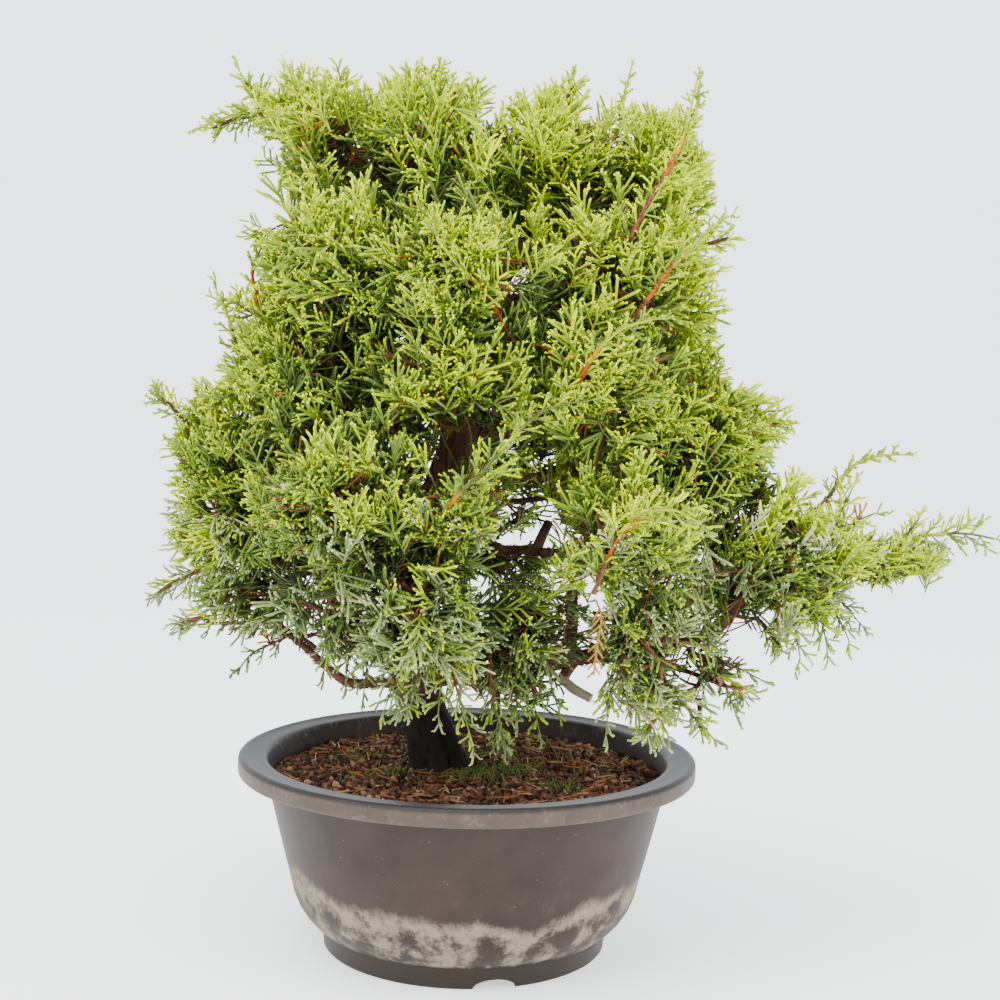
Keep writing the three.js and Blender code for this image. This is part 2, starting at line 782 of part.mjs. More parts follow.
// Put the whole plant together: pot and soil, then trunk, boughs and stems, then the foliage round them
addNode("pot", potSolid().translate([potShift, 0, 0]), plastic);
addNode("soil", soilSolid().translate([potShift, 0, 0]), earth);
const limbs = { trunk: growTrunk() };
addNode("trunk", limbs.trunk.solid, bark);
const withBough = masses.filter((mass) => mass.limb);
const order = [
  ...withBough.filter((mass) => mass.limb.parent === "trunk"),
  ...withBough.filter((mass) => mass.limb.parent !== "trunk"),
];
order.forEach((mass, i) => {
  const name = "bough_" + mass.name;
  limbs[name] = growBough(mass, limbs[mass.limb.parent], seededRandom(101 + i));
  addNode(name, limbs[name].solid, bark);
});
const stems = masses.map((mass) => growStem(mass, limbs["bough_" + mass.name] ?? limbs.trunk));
masses.forEach((mass, i) => {
  const others = [...Object.values(limbs), ...stems.filter((stem) => stem !== stems[i])];
  const solid = growMass(mass, stems[i], others.map((limb) => boxed(limb.clearance)), 7001 + i);
  addNode("foliage_" + mass.name, solid, tones[mass.tone]);
});

// Move the plant so that the origin lies under the middle of its box, on the ground
const box = new THREE.Box3().setFromObject(tree);
const boxMiddle = box.getCenter(new THREE.Vector3());
tree.position.set(-boxMiddle.x, -boxMiddle.y, -box.min.z);

export default tree;
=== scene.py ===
import math

import bpy
import numpy as np
from mathutils import Matrix, Vector, noise


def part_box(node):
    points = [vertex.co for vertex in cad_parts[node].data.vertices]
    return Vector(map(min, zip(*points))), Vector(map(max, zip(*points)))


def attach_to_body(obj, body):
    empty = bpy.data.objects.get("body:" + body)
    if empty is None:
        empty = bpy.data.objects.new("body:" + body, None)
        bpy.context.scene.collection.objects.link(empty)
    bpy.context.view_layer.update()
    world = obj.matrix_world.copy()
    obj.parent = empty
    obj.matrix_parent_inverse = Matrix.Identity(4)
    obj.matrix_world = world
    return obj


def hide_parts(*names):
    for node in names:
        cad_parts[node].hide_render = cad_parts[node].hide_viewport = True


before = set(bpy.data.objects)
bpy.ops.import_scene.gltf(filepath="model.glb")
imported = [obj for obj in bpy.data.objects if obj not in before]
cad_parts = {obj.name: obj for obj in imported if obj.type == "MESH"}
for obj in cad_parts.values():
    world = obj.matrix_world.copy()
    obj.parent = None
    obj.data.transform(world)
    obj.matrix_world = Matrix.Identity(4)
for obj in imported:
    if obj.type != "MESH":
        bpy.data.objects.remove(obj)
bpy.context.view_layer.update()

MM = 0.001

# Studio. The plant stands on a pale sweep that curves up behind it, under large soft lights,
# and the camera looks at it from the front, a little from above, as in the photograph.
# Sizes below are in millimetres from the layout's origin, on the ground near the trunk.
pot_low, pot_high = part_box("pot")
pot_shift = 2.6
origin = np.array([(pot_low.x + pot_high.x) / 2 / MM - pot_shift, (pot_low.y + pot_high.y) / 2 / MM, 0.0])


def place(x, y, z):
    return Vector(((x + origin[0]) * MM, (y + origin[1]) * MM, z * MM))


def plain_material(name, color, roughness, specular=0.5):
    material = bpy.data.materials.new(name)
    material.use_nodes = True
    shader = material.node_tree.nodes["Principled BSDF"]
    shader.inputs["Base Color"].default_value = (*color, 1)
    shader.inputs["Roughness"].default_value = roughness
    shader.inputs["Specular IOR Level"].default_value = specular
    return material


bpy.ops.object.select_all(action="DESELECT")
bpy.ops.mesh.primitive_grid_add(x_subdivisions=2, y_subdivisions=60, size=1)
sweep = bpy.context.active_object
sweep.name = "studio_sweep"
sweep_front, sweep_flat, sweep_bend, sweep_width = -2.2, 1.1, 1.2, 5.0
for corner in sweep.data.vertices:
    run = (corner.co.y + 0.5) * 6
    flat_run = sweep_flat - sweep_front
    turn = min(max(run - flat_run, 0) / sweep_bend, math.pi / 2)
    rise = max(run - flat_run - sweep_bend * math.pi / 2, 0)
    corner.co = (
        corner.co.x * sweep_width,
        sweep_front + min(run, flat_run) + sweep_bend * math.sin(turn),
        sweep_bend * (1 - math.cos(turn)) + rise,
    )
bpy.ops.object.shade_smooth()
paper = plain_material("pale studio paper", (0.90, 0.92, 0.94), 0.9, 0.2)
paper_shader = paper.node_tree.nodes["Principled BSDF"]
paper_shader.inputs["Emission Color"].default_value = (0.93, 0.96, 1.0, 1)
paper_shader.inputs["Emission Strength"].default_value = 0.95
sweep.data.materials.append(paper)

world = bpy.data.worlds.new("soft daylight")
bpy.context.scene.world = world
world.use_nodes = True
sky = world.node_tree.nodes["Background"]
sky.inputs["Color"].default_value = (0.95, 0.975, 1.0, 1)
sky.inputs["Strength"].default_value = 1.45


def soft_light(name, location, target, size, power, color=(1, 1, 1)):
    lamp = bpy.data.lights.new(name, "AREA")
    lamp.shape = "DISK"
    lamp.size = size
    lamp.energy = power
    lamp.color = color
    light = bpy.data.objects.new(name, lamp)
    light.location = location
    light.rotation_euler = (Vector(target) - Vector(location)).to_track_quat("-Z", "Y").to_euler()
    bpy.context.scene.collection.objects.link(light)


soft_light("soft light above", (-0.35, -0.5, 1.7), (0, 0, 0.2), 1.3, 42, (1.0, 0.985, 0.95))
soft_light("soft light left", (-1.5, -0.9, 0.9), (0, 0, 0.2), 1.0, 14)
soft_light("soft light right", (1.5, -0.8, 0.9), (0, 0, 0.2), 1.0, 22, (1.0, 0.985, 0.95))

focal_pixels, image_pixels, sensor_width = 1560, 1000, 36
camera_back, camera_height = 680, 238
pitch, yaw, roll = math.radians(3.6), math.radians(1.2), math.radians(1.35)
view = bpy.data.cameras.new("camera")
view.sensor_width = sensor_width
view.lens = sensor_width * focal_pixels / image_pixels
view.clip_start = 0.01
camera = bpy.data.objects.new("camera", view)
forward = Vector((math.sin(yaw) * math.cos(pitch), math.cos(yaw) * math.cos(pitch), -math.sin(pitch)))
across = Vector((math.cos(yaw), -math.sin(yaw), 0))
upward = across.cross(forward)
right = across * math.cos(roll) + upward * math.sin(roll)
top = upward * math.cos(roll) - across * math.sin(roll)
camera.matrix_world = Matrix.Translation(place(0, -camera_back, camera_height)) @ Matrix(
    (right, top, -forward)
).transposed().to_4x4()
bpy.context.scene.collection.objects.link(camera)
bpy.context.scene.camera = camera


# Training pot. A round bowl moulded in dark grey plastic, turned here from its profile: a flat lip
# with a band turned down round it, and a ring foot that three low arches are cut through.
# Hard water has left a pale, wavy band of lime low on the bowl.
notch_angles, notch_size, foot_middle = (-78, 42, 162), (9, 4, 12), 60
pot_profile = [
    (0, 7.2), (57.6, 7.2), (58.4, 6.4), (58.4, 0.5), (58.9, 0), (61.2, 0), (61.8, 0.6), (62.6, 8.4), (63, 9),
    (64.2, 9.5), (67.2, 11.9), (70.4, 15.4), (73.3, 19.9), (75.4, 25), (76.6, 30.2), (79.4, 41), (82.2, 52),
    (85.2, 64), (87.8, 74), (89.6, 80.6), (90.4, 81.6), (91.5, 81.9), (97.2, 81.9), (98, 81.2), (98.05, 77.2),
    (98.4, 76.6), (99.4, 76.6), (99.85, 77.1), (100, 78.2), (100, 81.9), (99.85, 82.9), (99.3, 83.6),
    (98.3, 84), (97.2, 84), (96.4, 83.7), (95.7, 83.45), (90.2, 83.3), (88.7, 83.1), (87.8, 82.5),
    (87.3, 81.4), (86.6, 78.5), (84.6, 71), (81.8, 60), (0, 60),
]
pot_axis = place(pot_shift, 0, 0)
outline = bpy.data.meshes.new("pot")
outline.from_pydata(
    [(pot_axis.x + r * MM, pot_axis.y, z * MM) for r, z in pot_profile],
    [(i, i + 1) for i in range(len(pot_profile) - 1)], [],
)
pot = bpy.data.objects.new("training_pot", outline)
bpy.context.scene.collection.objects.link(pot)
bpy.ops.object.select_all(action="DESELECT")
bpy.context.view_layer.objects.active = pot
pot.select_set(True)
bpy.ops.object.mode_set(mode="EDIT")
bpy.ops.mesh.select_all(action="SELECT")
bpy.ops.mesh.spin(steps=160, angle=2 * math.pi, center=pot_axis, axis=(0, 0, 1))
bpy.ops.mesh.select_all(action="SELECT")
bpy.ops.mesh.remove_doubles(threshold=1e-5)
bpy.ops.mesh.normals_make_consistent(inside=False)
bpy.ops.object.mode_set(mode="OBJECT")
for degrees in notch_angles:
    turn = math.radians(degrees)
    bpy.ops.object.select_all(action="DESELECT")
    bpy.ops.mesh.primitive_cylinder_add(
        vertices=48, radius=1, depth=1,
        location=pot_axis + Vector((foot_middle * MM * math.cos(turn), foot_middle * MM * math.sin(turn), 0)),
        rotation=(math.pi / 2, 0, turn - math.pi / 2),
    )
    arch = bpy.context.active_object
    arch.scale = [length * MM for length in notch_size]
    bpy.ops.object.transform_apply(location=True, rotation=True, scale=True)
    cut = pot.modifiers.new("arch", "BOOLEAN")
    cut.operation = "DIFFERENCE"
    cut.object = arch
    bpy.context.view_layer.objects.active = pot
    bpy.ops.object.modifier_apply(modifier="arch")
    bpy.data.objects.remove(arch)
bpy.ops.object.select_all(action="DESELECT")
pot.select_set(True)
bpy.context.view_layer.objects.active = pot
bpy.ops.object.shade_smooth_by_angle(angle=math.radians(40))


class Value:
    """A number or colour worked out in a material's nodes, which sums and products are written with."""

    def __init__(self, tree, socket):
        self.tree, self.socket = tree, socket

    def maths(self, operation, *others):
        node = self.tree.nodes.new("ShaderNodeMath")
        node.operation = operation
        for socket, value in zip(node.inputs, (self, *others)):
            feed(value, socket, self.tree)
        return Value(self.tree, node.outputs[0])

    def __add__(self, other):
        return self.maths("ADD", other)

    def __sub__(self, other):
        return self.maths("SUBTRACT", other)

    def __mul__(self, other):
        return self.maths("MULTIPLY", other)


def feed(value, socket, tree):
    """Link a worked-out value to a socket, or set a plain number or colour on it."""
    if isinstance(value, Value):
        tree.links.new(value.socket, socket)
    else:
        socket.default_value = (*value, 1) if isinstance(value, tuple) else value


def patterned_material(name, roughness=0.5, specular=0.5):
    """A material whose colour comes from nodes: its tree, its shader and the object's own coordinates."""
    material = plain_material(name, (0.8, 0.8, 0.8), roughness, specular)
    tree = material.node_tree
    at = tree.nodes.new("ShaderNodeTexCoord").outputs["Object"]
    return material, tree, tree.nodes["Principled BSDF"], at


def parts_of(tree, coordinates):
    node = tree.nodes.new("ShaderNodeSeparateXYZ")
    tree.links.new(coordinates, node.inputs[0])
    return [Value(tree, output) for output in node.outputs]


def fine_noise(tree, coordinates, scale, detail=4.0, roughness=0.55, stretch=(1, 1, 1)):
    mapping = tree.nodes.new("ShaderNodeMapping")
    mapping.inputs["Scale"].default_value = stretch
    tree.links.new(coordinates, mapping.inputs["Vector"])
    texture = tree.nodes.new("ShaderNodeTexNoise")
    for label, value in (("Scale", scale), ("Detail", detail), ("Roughness", roughness)):
        texture.inputs[label].default_value = value
    tree.links.new(mapping.outputs["Vector"], texture.inputs["Vector"])
    return Value(tree, texture.outputs["Fac"])


def ramp(value, stops):
    node = value.tree.nodes.new("ShaderNodeValToRGB")
    elements = node.color_ramp.elements
    while len(elements) < len(stops):
        elements.new(0.5)
    for element, (position, color) in zip(elements, stops):
        element.position = position
        element.color = (*color, 1)
    feed(value, node.inputs["Fac"], value.tree)
    return Value(value.tree, node.outputs["Color"])


def spread(value, low, high):
    """0 below the low mark, 1 above the high one and smooth between them, or the other way round."""
    node = value.tree.nodes.new("ShaderNodeMapRange")
    node.interpolation_type = "SMOOTHSTEP"
    for label, each in (("From Min", low), ("From Max", high), ("Value", value)):
        feed(each, node.inputs[label], value.tree)
    return Value(value.tree, node.outputs["Result"])


def blend_colors(factor, one, other):
    node = factor.tree.nodes.new("ShaderNodeMix")
    node.data_type = "RGBA"
    for socket, value in ((node.inputs["Factor"], factor), (node.inputs[6], one), (node.inputs[7], other)):
        feed(value, socket, factor.tree)
    return Value(factor.tree, node.outputs[2])


def relief(shader, value, strength, distance):
    bump = value.tree.nodes.new("ShaderNodeBump")
    for label, each in (("Strength", strength), ("Distance", distance), ("Height", value)):
        feed(each, bump.inputs[label], value.tree)
    value.tree.links.new(bump.outputs["Normal"], shader.inputs["Normal"])


plastic, tree, shader, at = patterned_material("dark grey plastic", specular=0.22)
x, y, z = parts_of(tree, at)
tint = ramp(fine_noise(tree, at, 45, 6), [(0.3, (0.0225, 0.0130, 0.0098)), (0.7, (0.0375, 0.0235, 0.0180))])
wave = fine_noise(tree, at, 16, 3, stretch=(1, 1, 0.15))
patch = fine_noise(tree, at, 90, 8, 0.7)
grain = fine_noise(tree, at, 420, 4, 0.7, stretch=(1, 1, 0.5))
x, y = x - pot_axis.x, y - pot_axis.y
around, from_axis = y.maths("ARCTAN2", x), (x * x + y * y).maths("SQRT")
higher_sides = (around * 2.0).maths("COSINE") * 0.0022
higher_left = around.maths("COSINE") * -0.0036
lime_top = higher_left + higher_sides + wave * 0.032 + 0.0196
depth = lime_top - z + (grain - 0.5) * 0.006
pits = spread(patch + spread(depth, 0.012, 0.002) * 0.12, 0.44, 0.62)
lime = spread(depth, -0.0022, 0.0040) * spread(z, 0.0075, 0.0105) * pits * (grain * 0.8 + 0.45)
# Pale patches from the band's lower edge up over the rim: partly wear, partly a painted highlight.
wear_and_highlight = spread(z, 0.0755, 0.078) * spread(fine_noise(tree, at, 240, 6, 0.7), 0.52, 0.68)
band = spread(from_axis, 0.0965, 0.0978) * spread(z, 0.0838, 0.0815)
for mask, stain_and_shade in (
    (lime * 0.85, (0.30, 0.25, 0.18)),
    (spread(patch, 0.55, 0.75) * spread(z, 0.06, 0.0) * 0.3, (0.20, 0.18, 0.16)),
    (wear_and_highlight * 0.22, (0.26, 0.25, 0.25)),
    (spread(fine_noise(tree, at, 900, 2), 0.72, 0.78) * 0.5, (0.3, 0.27, 0.23)),
    # the foot ring is darker and browner towards the bottom
    (spread(z, 0.0115, 0.0085) * 0.95, (0.024, 0.0165, 0.0115)),
    (band * (patch * 0.42 + 0.10), (0.17, 0.130, 0.098)),
    # painted shade: the lip's top face is painted a darker, cooler grey than the bowl
    (spread(z, 0.0822, 0.0832) * 0.75, (0.020, 0.019, 0.020)),
):
    tint = blend_colors(mask, tint, stain_and_shade)
feed(tint, shader.inputs["Base Color"], tree)
feed(lime * 0.4 + 0.5, shader.inputs["Roughness"], tree)
relief(shader, patch * 0.5 + grain, 0.12, 0.0004)
pot.data.materials.append(plastic)
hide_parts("pot")
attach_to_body(pot, "root")


# Potting grains. Fired red-brown clay grains fill the pot to just under its rim, strewn with dead
# needles, and moss grows on them near the trunk. The bed under them is one raked, uneven surface.
soil_edge, soil_rise, soil_radius, grain_spacing = 75.0, 2.6, 85.6, 2.75
trunk_foot, rod_sides = -10.5, 3
rng = np.random.default_rng(3)


def soil_height(x, y):
    reach = math.hypot(x - pot_shift, y) / soil_radius
    swell = 1.6 * noise.noise(Vector((x * 0.03, y * 0.03, 5.0)))
    swell += 0.8 * noise.noise(Vector((x * 0.1, y * 0.1, 2.0)))
    return soil_edge + soil_rise * (1 - reach**2) * 0.9 + swell * (1 - 0.6 * reach**4) - 1.2


def joined_mesh(name, parts, materials, smooth):
    """One object from several parts: each one's corners, triangles and material numbers."""
    firsts = np.cumsum([0] + [len(corners) for corners, _, _ in parts])
    corners = np.vstack([corners for corners, _, _ in parts])
    faces = np.vstack([faces + first for (_, faces, _), first in zip(parts, firsts)]).astype(np.int32)
    slots = np.concatenate([np.broadcast_to(slots, len(faces)) for _, faces, slots in parts])
    mesh = bpy.data.meshes.new(name)
    count, sides = faces.shape
    mesh.vertices.add(len(corners))
    mesh.vertices.foreach_set("co", ((corners + origin) * MM).astype(np.float32).ravel())
    mesh.loops.add(count * sides)
    mesh.loops.foreach_set("vertex_index", faces.ravel())
    mesh.polygons.add(count)
    mesh.polygons.foreach_set("loop_start", np.arange(0, count * sides, sides, dtype=np.int32))
    for material in materials:
        mesh.materials.append(material)
    mesh.polygons.foreach_set("material_index", slots.astype(np.int32))
    mesh.polygons.foreach_set("use_smooth", np.full(count, smooth))
    mesh.update(calc_edges=True)
    mesh.validate()
    piece = bpy.data.objects.new(name, mesh)
    bpy.context.scene.collection.objects.link(piece)
    return piece


bpy.ops.object.select_all(action="DESELECT")
bpy.ops.mesh.primitive_circle_add(
    vertices=96, radius=soil_radius * MM, fill_type="TRIFAN", location=place(pot_shift, 0, 0),
)
bed = bpy.context.active_object
bed.name = "grain_bed"
bpy.ops.object.transform_apply(location=True)
bpy.ops.object.mode_set(mode="EDIT")
bpy.ops.mesh.select_all(action="SELECT")
bpy.ops.mesh.subdivide(number_cuts=7)
bpy.ops.object.mode_set(mode="OBJECT")
for corner in bed.data.vertices:
    x, y = corner.co.x / MM - origin[0], corner.co.y / MM - origin[1]
    corner.co.z = (soil_height(x, y) - 0.9) * MM
bpy.ops.object.shade_smooth()
# Painted shade: the bed under the grains is painted near black for the shade in the hollows between them.
soil_and_painted_shade, tree, shader, at = patterned_material("dark hollows between grains", 0.95)
crumbs = fine_noise(tree, at, 600, 6, 0.7)
tint = ramp(crumbs, [(0.3, (0.010, 0.006, 0.005)), (0.7, (0.05, 0.026, 0.016))])
feed(tint, shader.inputs["Base Color"], tree)
relief(shader, crumbs, 0.8, 0.0012)
bed.data.materials.append(soil_and_painted_shade)
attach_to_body(bed, "root")

bpy.ops.object.select_all(action="DESELECT")
bpy.ops.mesh.primitive_ico_sphere_add(subdivisions=1, radius=1)
model = bpy.context.active_object
grain_corners = np.array([corner.co for corner in model.data.vertices])
grain_faces = np.array([face.vertices for face in model.data.polygons])
bpy.data.objects.remove(model)


def random_turns(count):
    quaternions = rng.normal(size=(count, 4))
    quaternions /= np.linalg.norm(quaternions, axis=1)[:, None]
    w, x, y, z = quaternions.T
    return np.stack([
        1 - 2 * (y * y + z * z), 2 * (x * y - z * w), 2 * (x * z + y * w),
        2 * (x * y + z * w), 1 - 2 * (x * x + z * z), 2 * (y * z - x * w),
        2 * (x * z - y * w), 2 * (y * z + x * w), 1 - 2 * (x * x + y * y),
    ], 1).reshape(-1, 3, 3)


def spot_on_soil(inset):
    """A random place on the soil, at least this far in from its edge."""
    angle, reach = rng.uniform(0, 2 * math.pi), (soil_radius - inset) * math.sqrt(rng.uniform())
    return pot_shift + reach * math.cos(angle), reach * math.sin(angle)


def clear_of_trunk(x, y, distance):
    return math.hypot(x - trunk_foot, y) > distance


spots = []
steps = int(soil_radius / grain_spacing) + 1
for i in range(-steps, steps + 1):
    for j in range(-steps, steps + 1):
        x = pot_shift + grain_spacing * (i + 0.5 * (j % 2)) + rng.uniform(-0.9, 0.9)
        y = grain_spacing * 0.87 * j + rng.uniform(-0.9, 0.9)
        if math.hypot(x - pot_shift, y) < soil_radius - 1.2 and clear_of_trunk(x, y, 9):
            spots.append((x, y, soil_height(x, y) + rng.uniform(-0.7, 0.5)))
for _ in range(700):
    x, y = spot_on_soil(3)
    if clear_of_trunk(x, y, 11):
        spots.append((x, y, soil_height(x, y) + rng.uniform(0.8, 1.7)))
spots = np.array(spots)
count = len(spots)
size = rng.uniform(0.95, 1.85, (count, 1, 1)) * rng.uniform(0.7, 1.15, (count, 1, 3))
shapes = grain_corners[None] * size * rng.uniform(0.78, 1.18, (count, len(grain_corners), 1))
shapes = np.einsum("nij,nkj->nki", random_turns(count), shapes) + spots[:, None]
faces = grain_faces[None] + (np.arange(count) * len(grain_corners))[:, None, None]
grain_colors = [
    (0.075, 0.030, 0.017), (0.125, 0.050, 0.026), (0.185, 0.085, 0.046), (0.026, 0.012, 0.008),
    (0.300, 0.172, 0.098), (0.098, 0.056, 0.034),
]
grain_tints = [plain_material(f"clay grain {i + 1}", tone, 0.9, 0.25) for i, tone in enumerate(grain_colors)]
tints = rng.choice(len(grain_colors), count, p=[0.22, 0.22, 0.13, 0.23, 0.08, 0.12])
grains = joined_mesh(
    "potting_grains", [(shapes.reshape(-1, 3), faces.reshape(-1, 3), np.repeat(tints, len(grain_faces)))],
    grain_tints, False,
)
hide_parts("soil")
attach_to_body(grains, "root")


def unit(vectors):
    return vectors / (np.linalg.norm(vectors, axis=-1, keepdims=True) + 1e-9)


def tubes(paths, radii, sides, tints, capped=False):
    """Rods along many short paths at once, all with the same number of points, each with its own tint."""
    count, stations, _ = paths.shape
    headings = unit(np.gradient(paths, axis=1))
    overall = unit(paths[:, -1] - paths[:, 0])
    helper = np.where(np.abs(overall[:, 2:3]) > 0.9, [[1.0, 0, 0]], [[0, 0, 1.0]])
    side = unit(np.cross(helper[:, None], headings))
    flat = np.cross(headings, side)
    angles = np.arange(sides) * 2 * math.pi / sides
    ring = side[:, :, None] * np.cos(angles)[:, None] + flat[:, :, None] * np.sin(angles)[:, None]
    corners = paths[:, :, None] + ring * radii[:, :, None, None]
    walls = []
    for i in range(stations - 1):
        for j in range(sides):
            a, b = i * sides + j, i * sides + (j + 1) % sides
            walls += [(a, b, b + sides), (a, b + sides, a + sides)]
    if capped:
        last = (stations - 1) * sides
        for i in range(1, sides - 1):
            walls += [(0, i + 1, i), (last, last + i, last + i + 1)]
    walls = np.array(walls)
    faces = walls[None] + (np.arange(count) * stations * sides)[:, None, None]
    return corners.reshape(-1, 3), faces.reshape(-1, 3), np.repeat(tints, len(walls))


def slim_rods(starts, ends, root_radius, tip_radius, tints):
    """Short straight needles or scales, closed at both ends."""
    radii = np.stack([np.broadcast_to(radius, len(starts)) for radius in (root_radius, tip_radius)], 1)
    return tubes(np.stack([starts, ends], 1), radii, rod_sides, tints, capped=True)


starts, ends = [], []
for _ in range(620):
    x, y = spot_on_soil(5)
    length, aim, lift = rng.uniform(4, 11), rng.uniform(0, 2 * math.pi), rng.uniform(-0.3, 1.4)
    end_reach = math.hypot(x - pot_shift + 12 * math.cos(aim), y + 12 * math.sin(aim))
    if clear_of_trunk(x, y, 12) and end_reach < 82:
        z = soil_height(x, y) + rng.uniform(0.9, 1.9)
        starts.append((x, y, z))
        ends.append((x + length * math.cos(aim), y + length * math.sin(aim), z + lift))
needle_tints = [
    plain_material("dead needle orange", (0.30, 0.11, 0.035), 0.8, 0.3),
    plain_material("dead needle tan", (0.36, 0.21, 0.09), 0.8, 0.3),
    plain_material("dead needle brown", (0.11, 0.05, 0.026), 0.85, 0.3),
]
tints = rng.choice(3, len(starts), p=[0.42, 0.2, 0.38])
needles = joined_mesh("dead_needles", [slim_rods(starts, ends, 0.42, 0.22, tints)], needle_tints, False)
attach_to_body(needles, "root")

starts, ends = [], []
moss_patches = [
    (6, -14, 16, 420), (22, -6, 13, 260), (-30, -12, 9, 110), (-2, 24, 15, 200), (40, -30, 10, 90),
    (-45, 20, 12, 90),
]
for x0, y0, reach, count in moss_patches:
    for _ in range(count):
        x, y = x0 + rng.normal() * reach * 0.5, y0 + rng.normal() * reach * 0.4
        if clear_of_trunk(x, y, 10.5) and math.hypot(x - pot_shift, y) < 82:
            z = soil_height(x, y) + 0.5
            starts.append((x, y, z))
            ends.append((x + rng.normal() * 0.9, y + rng.normal() * 0.9, z + rng.uniform(1.2, 2.8)))
moss_count = len(starts)
for _ in range(46):
    x, y = pot_shift + rng.uniform(-55, 62), rng.uniform(-52, 55)
    if clear_of_trunk(x, y, 14):
        z = soil_height(x, y)
        starts.append((x, y, z))
        ends.append((x + rng.normal() * 3.5, y + rng.normal() * 3, z + rng.uniform(4, 8.5)))
in_patch = np.arange(len(starts)) < moss_count
moss_tints = [
    plain_material("moss deep green", (0.045, 0.085, 0.018), 0.8, 0.3),
    plain_material("moss fresh green", (0.115, 0.17, 0.030), 0.8, 0.3),
]
tints = np.where(in_patch, rng.integers(0, 2, len(starts)), 1)
blades = slim_rods(starts, ends, np.where(in_patch, 0.5, 0.42), 0.1, tints)
moss = joined_mesh("moss", [blades], moss_tints, False)
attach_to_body(moss, "root")


# Trunk. It leans left out of a lobed root flare, bends back to the right and thins towards the apex.
# The wood is covered in dark, fibrous red-brown bark, whose ridges run along it and peel off in strips.
trunk_line = [
    (-10.5, 0, 70), (-10.5, 0, 78), (-17.3, -1, 103), (-26, -2, 141), (-21, 2, 176), (-10, 4, 203),
    (-3.5, 4, 226), (1, 3, 260), (11, 2, 293), (29, 3, 309), (43, 3, 328),
]
trunk_radius, trunk_tip_radius, trunk_taper = 10.2, 1.7, 0.45
flare_width, flare_height, root_lobes, root_lobe_depth, soil_level = 2.6, 9, 5, 0.16, 77.6


class Line:
    """A smooth curve through points, that is measured along its length from 0 to 1."""

    def __init__(self, points):
        points = np.asarray(points, float)
        padded = np.vstack([2 * points[0] - points[1], points, 2 * points[-1] - points[-2]])
        t = np.linspace(0, 1, 24, endpoint=False)[:, None]
        pieces = []
        for p0, p1, p2, p3 in zip(padded, padded[1:], padded[2:], padded[3:]):
            d0, d1, d2 = (np.sqrt(np.linalg.norm(b - a)) for a, b in ((p0, p1), (p1, p2), (p2, p3)))
            m1 = ((p1 - p0) / d0 - (p2 - p0) / (d0 + d1) + (p2 - p1) / d1) * d1
            m2 = ((p2 - p1) / d1 - (p3 - p1) / (d1 + d2) + (p3 - p2) / d2) * d1
            pieces.append(
                p1 + m1 * t + (3 * (p2 - p1) - 2 * m1 - m2) * t**2 + (2 * (p1 - p2) + m1 + m2) * t**3
            )
        self.dense = np.vstack(pieces + [points[-1:]])
        steps = np.linalg.norm(np.diff(self.dense, axis=0), axis=1)
        self.marks = np.concatenate([[0], np.cumsum(steps)])
        self.length = self.marks[-1]

    def at(self, u):
        along = np.clip(u, 0, 1) * self.length
        return np.stack([np.interp(along, self.marks, self.dense[:, k]) for k in range(3)], -1)

    def heading(self, u):
        step = self.at(np.minimum(np.asarray(u) + 0.004, 1)) - self.at(np.maximum(np.asarray(u) - 0.004, 0))
        return step / np.linalg.norm(step, axis=-1, keepdims=True)


trunk_curve = Line(trunk_line)


def trunk_profile(u, angle):
    fade = np.exp(-np.maximum(0, u * trunk_curve.length - (soil_level - trunk_line[0][2])) / flare_height)
    plain = trunk_tip_radius + (trunk_radius - trunk_tip_radius) * (1 - u) ** trunk_taper
    return plain * (1 + root_lobe_depth * fade * np.cos(root_lobes * angle)) + flare_width * fade


def bark_relief(radius, angle, along, seed):
    """Height of the bark at a place on a limb: ridges along the limb, cut across here and there."""
    turn = angle + 0.006 * along
    around_x, around_y = math.cos(turn) * radius, math.sin(turn) * radius
    ridges = 1 - 2.2 * abs(noise.noise(Vector((around_x * 0.42, around_y * 0.42, along * 0.045 + seed))))
    strips = noise.noise(Vector((around_x * 1.3, around_y * 1.3, along * 0.12 + seed)))
    lumps = noise.noise(Vector((around_x * 0.12, around_y * 0.12, along * 0.07 - seed)))
    return 0.42 * ridges + 0.30 * strips + 0.7 * lumps


def limb_mesh(line, radius_at, sides, spacing, seed, depth):
    """Rings of corners along a line, pushed in and out by the bark's relief, and their faces."""
    count = max(8, round(line.length / spacing))
    stations = np.linspace(0, 1, count + 1)
    middles, headings = line.at(stations), line.heading(stations)
    normal = np.array([0, -1.0, 0]) if abs(headings[0][1]) < 0.9 else np.array([1.0, 0, 0])
    corners = []
    for middle, heading, u in zip(middles, headings, stations):
        normal = normal - heading * normal.dot(heading)
        normal /= np.linalg.norm(normal)
        side = np.cross(heading, normal)
        for j in range(sides):
            angle = 2 * math.pi * j / sides
            radius = float(radius_at(u, angle))
            height = depth(radius) * bark_relief(radius, angle, u * line.length, seed)
            out = normal * math.cos(angle) + side * math.sin(angle)
            corners.append(middle + out * max(0.4, radius + height))
    corners.append(middles[-1] + headings[-1] * 0.8)
    faces = []
    for i in range(count):
        for j in range(sides):
            a, b = i * sides + j, i * sides + (j + 1) % sides
            faces += [(a, b, b + sides), (a, b + sides, a + sides)]
    last = count * sides
    faces += [(last + j, last + (j + 1) % sides, len(corners) - 1) for j in range(sides)]
    return np.array(corners), np.array(faces), 0


def beside(headings, spare=(1.0, 0, 0)):
    """Two directions square to each heading and to each other. An upright heading needs the spare one."""
    helper = np.where(np.abs(headings[..., 2:]) > 0.9, spare, (0, 0, 1.0))
    side = unit(np.cross(helper, headings))
    return side, np.cross(headings, side)


